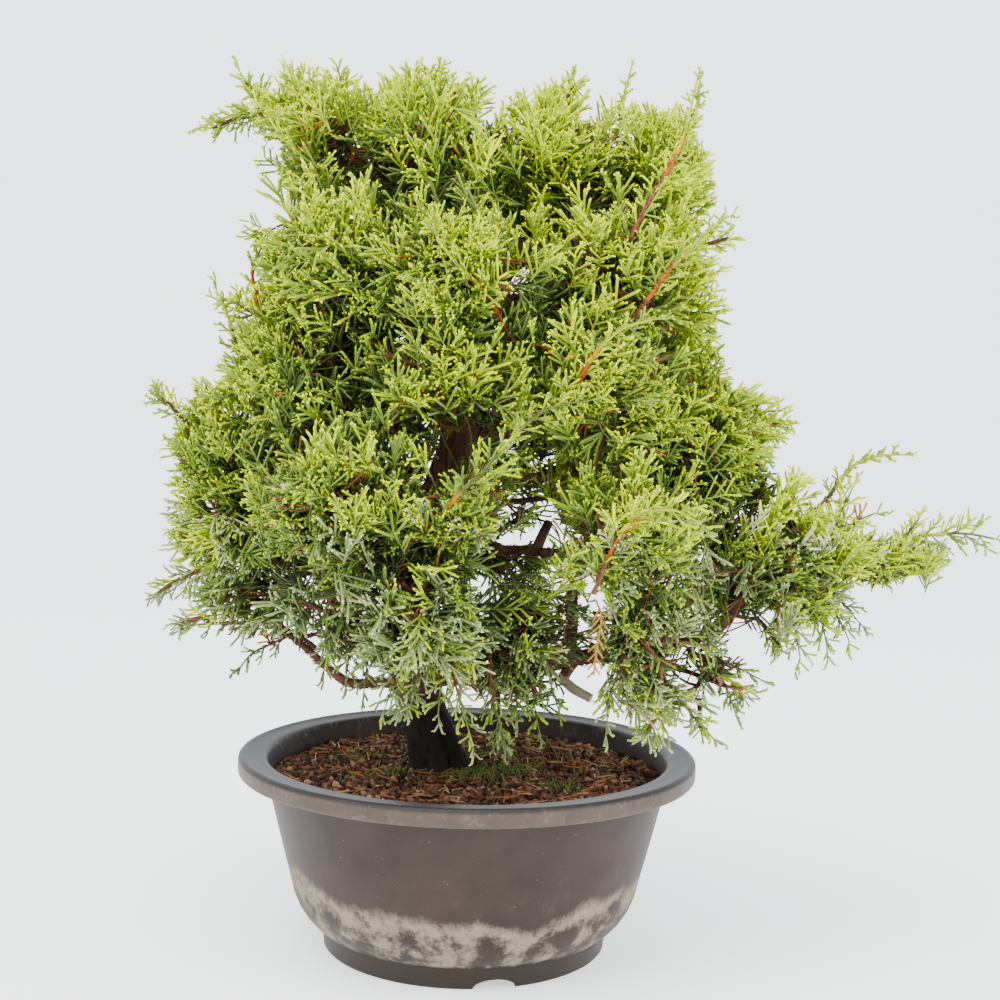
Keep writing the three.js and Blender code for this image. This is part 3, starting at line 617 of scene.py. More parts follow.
def flakes_on(line, radius_at, count, long, wide, lift, low=0.0, high=1.0):
    """Loose strips of bark: blades that lie along a limb and stand off it at one end."""
    u = rng.uniform(low, high, count)
    angle = rng.uniform(0, 2 * math.pi, count)
    heading = line.heading(u)
    side, flat = beside(heading, (0, -1.0, 0))
    out = side * np.cos(angle)[:, None] + flat * np.sin(angle)[:, None]
    across = np.cross(heading, out)
    run = heading * rng.choice([-1, 1], (count, 1)) + across * rng.normal(0, 0.25, (count, 1))
    radius = np.array([radius_at(a, b) for a, b in zip(u, angle)])[:, None]
    start = line.at(u) + out * radius * 0.97
    length = rng.uniform(0.5, 1.2, (count, 1)) * long
    width = rng.uniform(0.5, 1.2, (count, 1)) * wide
    rise = rng.uniform(0.3, 1.4, (count, 1)) * lift
    middle = start + run * length * 0.55 + out * (0.35 + rise * 0.25)
    tip = start + run * length + out * (0.3 + rise)
    corners = np.stack([
        start - across * width * 0.45, start + across * width * 0.45,
        middle - across * width * 0.5, middle + across * width * 0.5, tip,
    ], 1)
    pattern = np.array([(0, 1, 3), (0, 3, 2), (2, 3, 4)])
    return corners.reshape(-1, 3), (pattern[None] + 5 * np.arange(count)[:, None, None]).reshape(-1, 3), 0


bark, tree, shader, at = patterned_material("fibrous red-brown bark", specular=0.25)
fibres = fine_noise(tree, at, 620, 8, 0.65, stretch=(1, 1, 0.09))
strips = fine_noise(tree, at, 210, 6, 0.6, stretch=(1, 1, 0.14))
streaks = fibres * 0.55 + strips * 0.45
tint = ramp(streaks, [
    (0.30, (0.020, 0.010, 0.007)), (0.46, (0.090, 0.040, 0.025)), (0.58, (0.190, 0.088, 0.052)),
    (0.72, (0.32, 0.175, 0.11)),
])
tint = blend_colors(spread(fine_noise(tree, at, 55, 4, 0.6), 0.52, 0.7) * 0.4, tint, (0.080, 0.048, 0.036))
# Painted shade: the bark is painted near black from 125 mm down to the grains, under the crown.
tint = blend_colors(spread(parts_of(tree, at)[2], 0.125, 0.100) * 0.95, tint, (0.006, 0.0045, 0.004))
feed(tint, shader.inputs["Base Color"], tree)
feed(strips * -0.25 + 0.98, shader.inputs["Roughness"], tree)
relief(shader, streaks, 0.9, 0.0011)

trunk = joined_mesh("trunk_bark", [
    limb_mesh(trunk_curve, trunk_profile, 84, 1.3, 4.0, lambda radius: min(1.0, radius / 6)),
    flakes_on(trunk_curve, trunk_profile, 900, 7.5, 1.3, 1.0, 0.03, 0.95),
], [bark], True)
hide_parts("trunk")
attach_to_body(trunk, "root")


# Boughs. Each is one tapering limb that leaves the trunk, or the long low bough on the right, and
# carries one mass of foliage. Their bark is browner and shaggier, with small scales standing off it.
# The inner masses have no bough: their twigs leave the trunk and close the crown at its sides.


def mass_row(name, at, size, tone="bright", limb=None, via=(), meets=1, reach=(), thin=1, pale=0):
    """A mass: its middle, half sizes and colour; its bough's parent, start on it, radii and way; where its
    stem meets what carries it; the tips of its long sprigs; and how thin and pale its sprays are."""
    return dict(
        name=name, at=np.array(at, float), size=np.array(size, float), tone=tone, limb=limb, via=via,
        meets=meets, reach=reach, thin=thin, pale=pale,
    )


masses = [
    mass_row("apex_left", (-71, -5, 354), (30, 33, 25), limb=("trunk", 0.8, 2.3, 1.1), via=[(-22, -3, 318)],
             reach=[(-117, -5, 350), (-100, -5, 372), (-56, -8, 379)]),
    mass_row("apex_mid", (-19, -12, 353), (33, 33, 27), meets=0.85, reach=[(-15, -12, 379)]),
    mass_row("apex_right", (37, 0, 349), (29, 32, 28), reach=[(44, 0, 379)]),
    mass_row("crown_right", (83, 5, 345), (25, 30, 27), limb=("trunk", 0.92, 1.9, 1.1)),
    mass_row("shoulder_left", (-62, -45, 295), (31, 31, 27), limb=("trunk", 0.72, 2.2, 1.1),
             via=[(-22, -14, 268)], reach=[(-93, -35, 301)]),
    mass_row("shoulder_mid", (-10, -60, 291), (33, 29, 26), meets=0.74),
    mass_row("shoulder_right", (66, -36, 294), (38, 32, 27), limb=("trunk", 0.78, 2.2, 1.1),
             via=[(40, -12, 284)], reach=[(112, -20, 311)]),
    mass_row("mid_left", (-76, -40, 249), (32, 31, 27), limb=("trunk", 0.61, 2.4, 1.1),
             via=[(-36, -12, 238)], reach=[(-104, -30, 279)]),
    mass_row("mid_centre", (-8, -60, 246), (33, 29, 26), meets=0.6),
    mass_row("mid_right", (50, -60, 246), (35, 31, 28), limb=("bough_right_low", 0.42, 2.9, 1.1),
             via=[(46, -15, 156), (61, -32, 198)]),
    mass_row("left_arm", (-107, -10, 218), (27, 30, 24), limb=("trunk", 0.46, 2.5, 1.1),
             via=[(-58, -5, 204)], reach=[(-138, -10, 241)]),
    mass_row("left_low", (-103, -15, 177), (28, 31, 24), tone="grey", pale=0.6, thin=0.75,
             limb=("trunk", 0.34, 2.3, 1.1), via=[(-62, -9, 162)], reach=[(-137, -10, 150)]),
    mass_row("front_left", (-54, -83, 199), (33, 30, 25), limb=("trunk", 0.41, 2.5, 1.1),
             via=[(-34, -30, 184)]),
    mass_row("bottom_left", (-90, -12, 149), (35, 28, 18), tone="grey", pale=0.9, thin=0.55,
             limb=("trunk", 0.16, 2.4, 1.1), via=[(-50, -8, 115), (-66, -10, 128)],
             reach=[(-128, -10, 138)]),
    mass_row("low_left", (-52, -45, 148), (25, 27, 23), tone="grey", thin=0.65,
             limb=("trunk", 0.21, 2, 1.1)),
    mass_row("front_bottom", (-17, -78, 152), (29, 27, 29), tone="grey", limb=("trunk", 0.28, 2.3, 1.1),
             via=[(-25, -28, 152)], reach=[(-24, -80, 112)]),
    mass_row("front_centre", (-7, -78, 197), (27, 27, 20), limb=("trunk", 0.45, 2.2, 1.1),
             via=[(-14, -32, 188)]),
    mass_row("right_mid", (106, -22, 227), (30, 31, 27), limb=("trunk", 0.5, 2.5, 1.1),
             via=[(34, -2, 206), (70, -10, 214)], reach=[(139, -20, 234)]),
    mass_row("right_low", (134, -30, 179), (37, 31, 33), limb=("trunk", 0.17, 4.4, 1.8),
             via=[(14, -6, 119), (42, -12, 127), (84, -15, 132), (106, -16, 141)], reach=[(136, -33, 134)]),
    mass_row("under_right", (104, -38, 124), (24, 22, 14), tone="grey", thin=0.55,
             limb=("bough_right_low", 0.62, 1.7, 1.1), reach=[(95, -66, 106), (122, -15, 110)]),
    mass_row("right_tip", (187, 0, 175), (27, 24, 15), thin=0.6, limb=("bough_right_low", 0.62, 2.1, 1.1),
             via=[(102, -9, 148), (124, -4, 158)]),
    mass_row("front_right", (68, -84, 190), (26, 26, 22), limb=("trunk", 0.38, 2.3, 1.1),
             via=[(15, -8, 174), (37, -16, 174), (54, -44, 178)]),
    mass_row("bottom_right", (76, -68, 137), (23, 25, 29), tone="grey",
             limb=("bough_right_low", 0.5, 1.8, 1.1), via=[(66, -32, 140)], reach=[(71, -74, 103)]),
    mass_row("bottom_centre", (28, -38, 135), (23, 25, 27), tone="grey", limb=("trunk", 0.25, 1.8, 1.1),
             via=[(2, -18, 148)], reach=[(16, -42, 92)]),
    mass_row("back_top", (-21, 52, 334), (40, 34, 31), meets=0.8),
    mass_row("back_top_right", (66, 54, 328), (37, 32, 30), limb=("trunk", 0.87, 1.9, 1.1)),
    mass_row("back_left", (-72, 58, 270), (38, 33, 34), limb=("trunk", 0.66, 2.3, 1.1),
             via=[(-32, 26, 256)]),
    mass_row("back_mid", (22, 70, 250), (42, 34, 42), limb=("trunk", 0.64, 2.2, 1.1)),
    mass_row("back_right", (92, 58, 240), (36, 34, 33), limb=("trunk", 0.56, 2.4, 1.1),
             via=[(44, 24, 230)]),
    mass_row("back_low_left", (-88, 58, 184), (36, 32, 28), tone="grey", thin=0.8,
             limb=("trunk", 0.36, 2.3, 1.1), via=[(-48, 26, 176)]),
    mass_row("back_low", (6, 68, 172), (48, 34, 36), tone="grey", limb=("trunk", 0.31, 2.2, 1.1)),
]
inner_masses = [
    mass_row("", (70, 12, 272), (32, 28, 33), meets=0.7),
    mass_row("", (76, 14, 207), (32, 28, 30), meets=0.46),
    mass_row("", (-58, 9, 262), (32, 28, 33), meets=0.64),
    mass_row("", (-60, 14, 206), (31, 28, 29), meets=0.44),
]


def seeded(seed):
    """The same row of random numbers for the same seed as in the solids."""
    state = seed
    while True:
        state = (state + 0x6D2B79F5) & 0xFFFFFFFF
        mixed = ((state ^ (state >> 15)) * (1 | state)) & 0xFFFFFFFF
        mixed = ((mixed + (((mixed ^ (mixed >> 7)) * (61 | mixed)) & 0xFFFFFFFF)) & 0xFFFFFFFF) ^ mixed
        yield (mixed ^ (mixed >> 14)) / 4294967296


def bough_line(mass, parent, seed):
    middle, size = mass["at"], mass["size"]
    stations = [parent.at(mass["limb"][1])] + [np.array(point, float) for point in mass["via"]]
    back = (stations[-1] - middle) / np.linalg.norm(stations[-1] - middle)
    stations.append(middle + back * 0.6 / np.linalg.norm(back / size))
    numbers = seeded(seed)
    points = [stations[0]]
    for before, after in zip(stations, stations[1:]):
        wander = np.linalg.norm(after - before) * 0.05
        shift = np.array([next(numbers) - 0.5 for _ in range(3)]) * 2 * wander
        points += [(before + after) / 2 + shift, after]
    return Line(points)


shaggy, tree, shader, at = patterned_material("shaggy brown bough bark", 0.9, 0.25)
mottle = fine_noise(tree, at, 520, 7, 0.7) * 0.6 + fine_noise(tree, at, 120, 5, 0.6) * 0.4
tint = ramp(mottle, [
    (0.32, (0.020, 0.010, 0.007)), (0.46, (0.085, 0.037, 0.023)), (0.58, (0.185, 0.085, 0.050)),
    (0.72, (0.32, 0.19, 0.125)),
])
feed(tint, shader.inputs["Base Color"], tree)
relief(shader, mottle, 0.9, 0.0009)

limbs, bough_parts = {"trunk": trunk_curve}, []
with_bough = [mass for mass in masses if mass["limb"]]
order = [mass for mass in with_bough if mass["limb"][0] == "trunk"]
order += [mass for mass in with_bough if mass["limb"][0] != "trunk"]
for i, mass in enumerate(order):
    parent, start, root_radius, tip_radius = mass["limb"]
    line = bough_line(mass, limbs[parent], 101 + i)
    limbs["bough_" + mass["name"]] = line
    buried = trunk_profile(start, 0) if parent == "trunk" else 2.5

    def radius_at(u, angle):
        plain = tip_radius + (root_radius - tip_radius) * (1 - u) ** 0.8
        knots = 0.16 * noise.noise(Vector((u * line.length * 0.11, i * 3.1, 0)))
        return plain * (1 + knots) + 1.1 * math.exp(-max(0, u * line.length - buried) / 3.5)

    bough_parts.append(limb_mesh(
        line, radius_at, 18, 1.5, 20.0 + 3 * i, lambda radius: min(0.85, radius / 5),
    ))
    scale_count = int(line.length * root_radius * 0.9)
    bough_parts.append(flakes_on(line, radius_at, scale_count, 3.2, 1.1, 1.0, buried / line.length, 0.98))
boughs = joined_mesh("bough_bark", bough_parts, [shaggy], True)
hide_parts(*["bough_" + mass["name"] for mass in order])
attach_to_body(boughs, "root")

# Stubs of cut and broken branches. The long one at the lower right is weathered and sawn pale at its
# end. The others are as brown as the boughs that they were.
sawn = plain_material("pale sawn wood", (0.40, 0.30, 0.20), 0.8, 0.3)
dry = plain_material("weathered grey-green bark", (0.33, 0.275, 0.185), 0.9, 0.2)
stub_sides, stub_parts = 16, []
for stations, radius, colors in (
    ([(51.8, -12, 131), (46, -13, 125), (42.6, -15, 119.4)], 2.3, (0, 0)),
    ([(41.6, -15, 120), (47.5, -18, 115.9), (54.7, -21, 112.4)], 1.9, (1, 2)),
    ([(30, -13, 174.5), (32.7, -8.5, 180.6), (35.5, -4, 186)], 2.0, (0, 0)),
    ([(-16, -4, 156), (-15.5, -9.5, 157.5), (-15, -15, 158.5)], 1.9, (0, 0)),
    ([(-24, -6, 120), (-27, -10.5, 120.9), (-29.5, -15, 121)], 1.6, (0, 1)),
):
    line = Line(stations)
    corners, faces, _ = limb_mesh(
        line, lambda u, angle: radius * (1.1 - 0.15 * u), stub_sides, 0.8, 77 + radius, lambda _: 0.5,
    )
    corners[-1] = corners[-1] - line.heading(1.0) * 0.9
    at_end = np.arange(len(faces)) >= len(faces) - stub_sides
    stub_parts.append((corners, faces, np.where(at_end, 2 * colors[1], colors[0])))
stubs = joined_mesh("branch_stubs", stub_parts, [shaggy, dry, sawn], False)
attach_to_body(stubs, "root")


# Foliage. From each bough or the trunk a stem runs on into its mass, and twigs branch off it three
# times over, each finer than the last. Every last twig ends in a frond of knobbly, forked green shoots
# clad in scale leaves. Masses grow into each other; daylight, and the trunk, show in a few places.
daylight = [
    (18, 291, 3.5), (-31, 266, 3.5), (15, 241, 3.5), (17, 223, 4.5), (-14, 205, 4), (6, 155, 3.5),
    (22, 178, 5), (34, 180, 4), (18, 189, 2.5), (24, 165, 2.8), (16, 160, 2.5), (16, 123, 2.8),
    (12, 120, 2.5), (56, 186, 2.6), (-22, 204, 2), (48, 113, 9), (-101, 349, 5), (-91, 349, 4.5),
    (-84, 343, 3), (-101, 338, 6), (-99, 326, 9.5), (-88, 318, 6.5), (-104, 296, 9), (-112, 262, 9),
    (-77, 144, 3.2), (-67, 156, 2), (-53, 124, 3), (-115, 167, 2.2), (-111, 190, 2), (-125, 212, 2),
    (-66, 133, 6), (-74, 122, 7), (-64, 120, 4), (-85, 128, 5), (-66, 146, 3.5), (-92, 143, 3),
    (-105, 149, 2.5), (-48, 140, 3), (121, 132, 6), (114, 110, 7), (126, 122, 5), (100, 121, 6),
    (78, 110, 3), (94, 117, 4), (128, 139, 4), (64, 119, 4), (135, 130, 6), (114, 270, 3.5),
    (119, 255, 5), (141, 218, 5), (176, 162, 5), (172, 198, 8), (186, 186, 5.5), (196, 160, 7),
    (119, 145, 3.5), (109, 141, 3.5), (99, 135, 3.5), (90, 131, 3.5), (134, 151, 3), (98, 147, 2.4),
    (117, 151, 2.6), (163, 166, 2.8), (169, 158, 2.4), (150, 205, 3), (-121, 138, 5), (-108, 134, 5),
    (72, 110, 2.8), (94, 349, 2.8), (10, 367, 4), (50, 365, 4.5), (28, 178, 5.5), (37, 177, 5),
    (18, 177, 4.5), (-16, 204, 6), (15, 225, 4.5), (6, 158, 5), (37, 191, 4), (24, 196, 3.5),
    (57, 118, 9), (32, 211, 3),
]
trunk_windows = [(-2, 222, 7), (-6, 214, 5), (1, 231, 5), (10, 298, 4), (23, 306, 5), (20, 314, 3)]
shared_edge, neighbour_reach, back_reach, bridge_waist, fronds_per_area = 4.0, 82.0, 104.0, 0.15, 0.0212
masses += inner_masses
middles = np.array([mass["at"] for mass in masses])
sizes = np.array([mass["size"] for mass in masses])
mean_sizes = sizes.mean(axis=1)
eye = np.array([0.0, -camera_back, camera_height])
noise.seed_set(19)  # the drift's noise vectors would follow the clock otherwise

crown_middles, crown_sizes = [*middles], [*sizes]
for i, middle in enumerate(middles):
    for j in range(i):
        near = back_reach if max(middle[1], middles[j][1]) > 40 else neighbour_reach
        if np.linalg.norm(middle - middles[j]) < near:
            for t in (0.2, 0.35, 0.5, 0.65, 0.8):
                waist = 1 - bridge_waist * math.sin(math.pi * t)
                crown_middles.append(middle * (1 - t) + middles[j] * t)
                crown_sizes.append((sizes[i] * (1 - t) + sizes[j] * t) * waist)
crown_middles, crown_sizes = np.array(crown_middles), np.array(crown_sizes)


def in_crown(points):
    """True where a point lies in a mass or in the bridge between two neighbouring masses."""
    shares = (((points[:, None] - crown_middles[None]) / crown_sizes[None]) ** 2).sum(-1)
    return (shares < 1).any(axis=1)


def open_sky(points, margin):
    """True where a point, as the camera sees it, would close one of the gaps that daylight shows in."""
    nearness = camera_back / (points[:, 1] + camera_back)
    x, z = points[:, 0] * nearness, eye[2] + (points[:, 2] - eye[2]) * nearness
    blocked = np.zeros(len(points), bool)
    for gap_x, gap_z, radius in daylight:
        blocked |= np.hypot(x - gap_x, z - gap_z) < radius + margin
    for gap_x, gap_z, radius in trunk_windows:
        blocked |= (np.hypot(x - gap_x, z - gap_z) < radius + margin) & (points[:, 1] < 0)
    return blocked


def own_space(points, index):
    """True on a mass's own side of the halfway planes to its neighbours, or a little beyond them."""
    power = ((points[:, None] - middles[None]) ** 2).sum(-1) - mean_sizes[None] ** 2
    apart = np.linalg.norm(middles - middles[index], axis=1)
    room = power - power[:, index:index + 1] + 2 * apart * shared_edge
    room[:, index] = 1
    return (room > 0).all(axis=1)


def reach_along(directions, index):
    """How far a mass reaches in each direction, as a share of its size, and whether it ends in the open."""
    steps = np.arange(0.5, 1.56, 0.05)
    reach = np.full(len(directions), 0.5)
    going, free = np.ones(len(directions), bool), np.zeros(len(directions), bool)
    for step in steps:
        points = middles[index] + directions * step * sizes[index]
        own, crown = own_space(points, index), in_crown(points)
        free |= going & own & ~crown
        going &= own & crown
        reach[going] = step
    return reach, free


def golden_directions(count, turn):
    height = 1 - (2 * (np.arange(count) + 0.5)) / count
    around = turn + np.arange(count) * math.pi * (3 - math.sqrt(5))
    flat = np.sqrt(1 - height**2)
    return np.stack([flat * np.cos(around), flat * np.sin(around), height], 1)


def branch_paths(roots, root_headings, tips, stations, sag):
    """Curves that leave their parents partly along them and bend round towards their tips."""
    t = np.linspace(0, 1, stations)[None, :, None]
    span = np.linalg.norm(tips - roots, axis=1)[:, None]
    bend = roots + unit(root_headings * 0.6 + unit(tips - roots)) * span * 0.5
    bend[:, 2:] += sag * span
    return (1 - t) ** 2 * roots[:, None] + 2 * t * (1 - t) * bend[:, None] + t**2 * tips[:, None]


def attach(points, wood, headings, middle, size):
    """For each point, the place on the wood that a twig grows to it from: near, and not turning back."""
    towards = points[:, None] - wood[None]
    distance = np.linalg.norm(towards, axis=2)
    turning = (towards * headings[None]).sum(2) / (distance + 1e-6)
    deeper = np.linalg.norm((points - middle) / size, axis=1)[:, None]
    deeper = deeper - np.linalg.norm((wood - middle) / size, axis=1)[None]
    cost = distance * (1 + 1.2 * np.maximum(0, 0.35 - turning)) + 30 * np.maximum(0, 0.03 - deeper)
    return cost.argmin(axis=1)


def shoot(base, direction, length, radius, curve, roll, rings):
    """A green shoot of rings of three corners that ends bluntly, and how high up it each face is."""
    direction = direction / np.linalg.norm(direction)
    side, flat = beside(direction)
    corners, faces, heights = [], [], []
    for along, thick in rings:
        middle = base + direction * length * along + curve * along**2
        for k in range(3):
            angle = roll + 2 * math.pi * k / 3
            corners.append(middle + (side * math.cos(angle) + flat * math.sin(angle)) * radius * thick)
    corners.append(base + direction * length + curve)
    for i in range(len(rings)):
        for k in range(3):
            a, b = 3 * i + k, 3 * i + (k + 1) % 3
            if i < len(rings) - 1:
                faces += [(a, b, b + 3), (a, b + 3, a + 3)]
                heights += [rings[i][0], rings[i][0]]
            else:
                faces.append((a, b, len(corners) - 1))
                heights.append(rings[i][0])
    return corners, faces, heights


def lobe_shape(base, direction, length, radius, roll):
    """A small side lobe that widens from its foot to a blunt end."""
    direction = direction / np.linalg.norm(direction)
    side, flat = beside(direction)
    angles = roll + np.arange(3) * 2 * math.pi / 3
    corners = [base] + [
        base + direction * length + (side * math.cos(angle) + flat * math.sin(angle)) * radius
        for angle in angles
    ]
    return corners, [(0, 2, 1), (0, 3, 2), (0, 1, 3), (1, 2, 3)], [0.4, 0.4, 0.4, 1.0]


def frond_shape(kind, seed):
    """A frond: an axis up from the origin, shoots to both sides of it, and small lobes on those."""
    dice = np.random.default_rng(seed)
    axis, number, spread, longest, shortest, radius, depth, lobes = {
        "fan": (18.0, 7, 46, 12.0, 7.0, 0.66, 0.35, 0.7),
        "tuft": (12.5, 8, 42, 12.5, 8.0, 0.70, 1.0, 0.6),
        "plain": (15.0, 7, 42, 11.0, 7.5, 0.62, 0.8, 0.0),
        "runner": (24.0, 9, 42, 9.5, 5.0, 0.66, 0.4, 0.5),
        "comb": (19.0, 8, 40, 13.5, 9.0, 0.68, 0.6, 0.22),
        "sprout": (9.0, 3, 30, 4.5, 3.5, 0.95, 0.3, 0.0),
        "short": (10.5, 4, 40, 7.5, 5.0, 0.74, 0.5, 0.4),
    }[kind]
    corners, faces, shades, numbers = [], [], [], []

    def add(part, number, low, high):
        faces.extend(tuple(len(corners) + n for n in face) for face in part[1])
        corners.extend(part[0])
        shades.extend(low + (high - low) * height for height in part[2])
        numbers.extend([number] * len(part[2]))

    up = np.array([0, 0, 1.0])
    sway = np.array([dice.normal(0, 1.6), dice.normal(0, 1.6), 0])
    add(shoot(np.zeros(3), up, axis, radius, sway, 0.5, ((0, 0.6), (0.8, 1))), 0, -1.2, 1.5)
    for i in range(number):
        share = 0.10 + 0.80 * i / (number - 1) + dice.normal(0, 0.02)
        base = up * axis * share + sway * share**2
        turn = math.pi * i + dice.normal(0, 0.25) + dice.uniform(-1.4, 1.4) * depth
        out = np.array([math.cos(turn), math.sin(turn), 0])
        aside = np.array([-out[1], out[0], 0])
        lean = math.radians(spread + dice.normal(0, 8) - 10 * share)
        direction = out * math.sin(lean) + up * math.cos(lean)
        length = (longest + (shortest - longest) * share) * dice.uniform(0.8, 1.15)
        thick = radius * dice.uniform(0.9, 1.1)
        curve = up * 0.17 * length + dice.normal(0, 0.35, 3)
        rings = ((0, 0.78), (0.86, 1))
        shades_of_shoot = -0.7 + 0.7 * share, 1.6 + 0.4 * share
        add(shoot(base, direction, length, thick, curve, dice.uniform(0, 2), rings), i, *shades_of_shoot)
        for along in (0.55, 0.74):
            if dice.random() < lobes:
                foot = base + direction * length * along + curve * along**2
                across = np.cross(direction, aside) * (1 if along < 0.6 else -1)
                across = across + aside * dice.normal(0, 0.4 + depth)
                aim = direction + across / np.linalg.norm(across) * dice.uniform(0.5, 0.75)
                lobe = dice.uniform(2.0, 3.6)
                add(lobe_shape(foot, aim, lobe, thick * 0.85, dice.uniform(0, 2)), i, 0.8 + 0.5 * share, 2)
    return np.array(corners), np.array(faces), np.array(shades), np.array(numbers)


frond_kinds = ["fan"] * 9 + ["tuft"] * 7 + ["plain"] * 4 + ["runner"] * 4 + ["comb"] * 6
frond_kinds += ["sprout"] * 3 + ["short"] * 3
frond_shapes = [frond_shape(kind, 500 + i) for i, kind in enumerate(frond_kinds)]

# Each family runs from its darkest tint to its lightest: lit and shaded copies of one leaf colour, which
# dress picks among by painted light and shade and by each shoot's own tone.
leaf_colors = {
    "green": [
        (0.076, 0.102, 0.026), (0.108, 0.152, 0.036), (0.140, 0.204, 0.042), (0.190, 0.280, 0.044),
        (0.262, 0.376, 0.026), (0.400, 0.525, 0.004), (0.660, 0.780, 0.004),
    ],
    "grey": [
        (0.062, 0.078, 0.030), (0.088, 0.116, 0.042), (0.120, 0.160, 0.056), (0.176, 0.228, 0.078),
        (0.256, 0.318, 0.116), (0.380, 0.445, 0.180), (0.560, 0.615, 0.310),
    ],
    "amber": [(0.050, 0.020, 0.010), (0.120, 0.046, 0.018), (0.240, 0.088, 0.014), (0.420, 0.200, 0.024)],
}
leaf_tints = [
    plain_material(f"leaf {family} {level}", color, 0.7, 0.04)
    for family, colors in leaf_colors.items() for level, color in enumerate(colors)
]
first_grey, first_amber = 7, 14
twig_tints = [
    plain_material("twig dark brown", (0.065, 0.030, 0.018), 0.85, 0.3),
    plain_material("twig red-brown", (0.170, 0.060, 0.028), 0.8, 0.3),
    plain_material("twig orange-brown", (0.340, 0.085, 0.006), 0.75, 0.3),
    plain_material("twig olive", (0.095, 0.120, 0.022), 0.7, 0.3),
    plain_material("twig amber", (0.520, 0.250, 0.004), 0.7, 0.3),
    plain_material("twig yellow-green", (0.380, 0.440, 0.010), 0.65, 0.25),
]


def stem_path(mass):
    middle, size, meets = mass["at"], mass["size"], mass["meets"]
    carrier = limbs.get("bough_" + mass["name"], trunk_curve)
    start, heading = carrier.at(meets), carrier.heading(meets)
    if meets == 1:
        bend = start + heading * 0.45 * np.linalg.norm(middle - start)
    else:
        bend = (start + middle) / 2 - np.array([0, 0, 0.12 * np.linalg.norm(middle - start)])
    onward = (middle - bend) / np.linalg.norm(middle - bend)
    end = middle + onward * 0.3 / np.linalg.norm(onward / size)
    t = np.linspace(0, 1, 14)[:, None]
    return (1 - t) ** 2 * start + 2 * t * (1 - t) * bend + t**2 * end


def sample_wood(paths):
    """Points along twigs beyond their first third, with the way that each twig heads there."""
    share = np.array([0.35, 0.5, 0.65, 0.8, 0.92, 1.0]) * (paths.shape[1] - 1)
    low = np.minimum(share.astype(int), paths.shape[1] - 2)
    blend = (share - low)[None, :, None]
    points = paths[:, low] * (1 - blend) + paths[:, low + 1] * blend
    headings = unit(paths[:, low + 1] - paths[:, low])
    return points.reshape(-1, 3), headings.reshape(-1, 3)


def noise_at(points, grain):
    return np.array([noise.noise(Vector(point / grain)) for point in points])


def hollows(points):
    """How far the crown's surface falls back at a place, so that it grows in tufts with dark hollows."""
    return 0.42 - 1.7 * noise_at(points, 19.0)


def sprigs(mass, stem, twigs, dice):
    """The long sprigs of a mass: each one's wood, and its fronds' bases, headings and lengths."""
    for tip in mass["reach"]:
        tip = np.array(tip, float)
        near = np.vstack([stem[8:], twigs[0][:, -1], twigs[1][:, -1]])
        root = near[np.argmin(np.linalg.norm(near - tip, axis=1))]
        span, lean = np.linalg.norm(tip - root), unit(tip - root)
        bend = (root + tip) / 2 + np.array([0, 0, 0.1 * span])
        t = np.linspace(0, 1, 9)[:, None]
        path = (1 - t) ** 2 * root + 2 * t * (1 - t) * bend + t**2 * (tip - lean * 5)
        twigs[0] = np.vstack([twigs[0], path[None, ::2]])
        line = Line(path)
        steps = max(4, int(span / 3.6))
        u = 0.15 + 0.8 * (np.arange(steps) + 0.5) / steps
        turns = np.where(np.arange(steps) % 2, 1, -1)[:, None]
        sideways = unit(np.cross(line.heading(u), [0, 0.8, 0.6]) * turns)
        aim = unit(line.heading(u) * 1.3 + sideways * 0.9 + dice.normal(0, 0.25, (steps, 3)))
        yield np.vstack([line.at(u), [tip - lean * 13]]), np.vstack([aim, [lean]]), np.append(14 - 5 * u, 13)


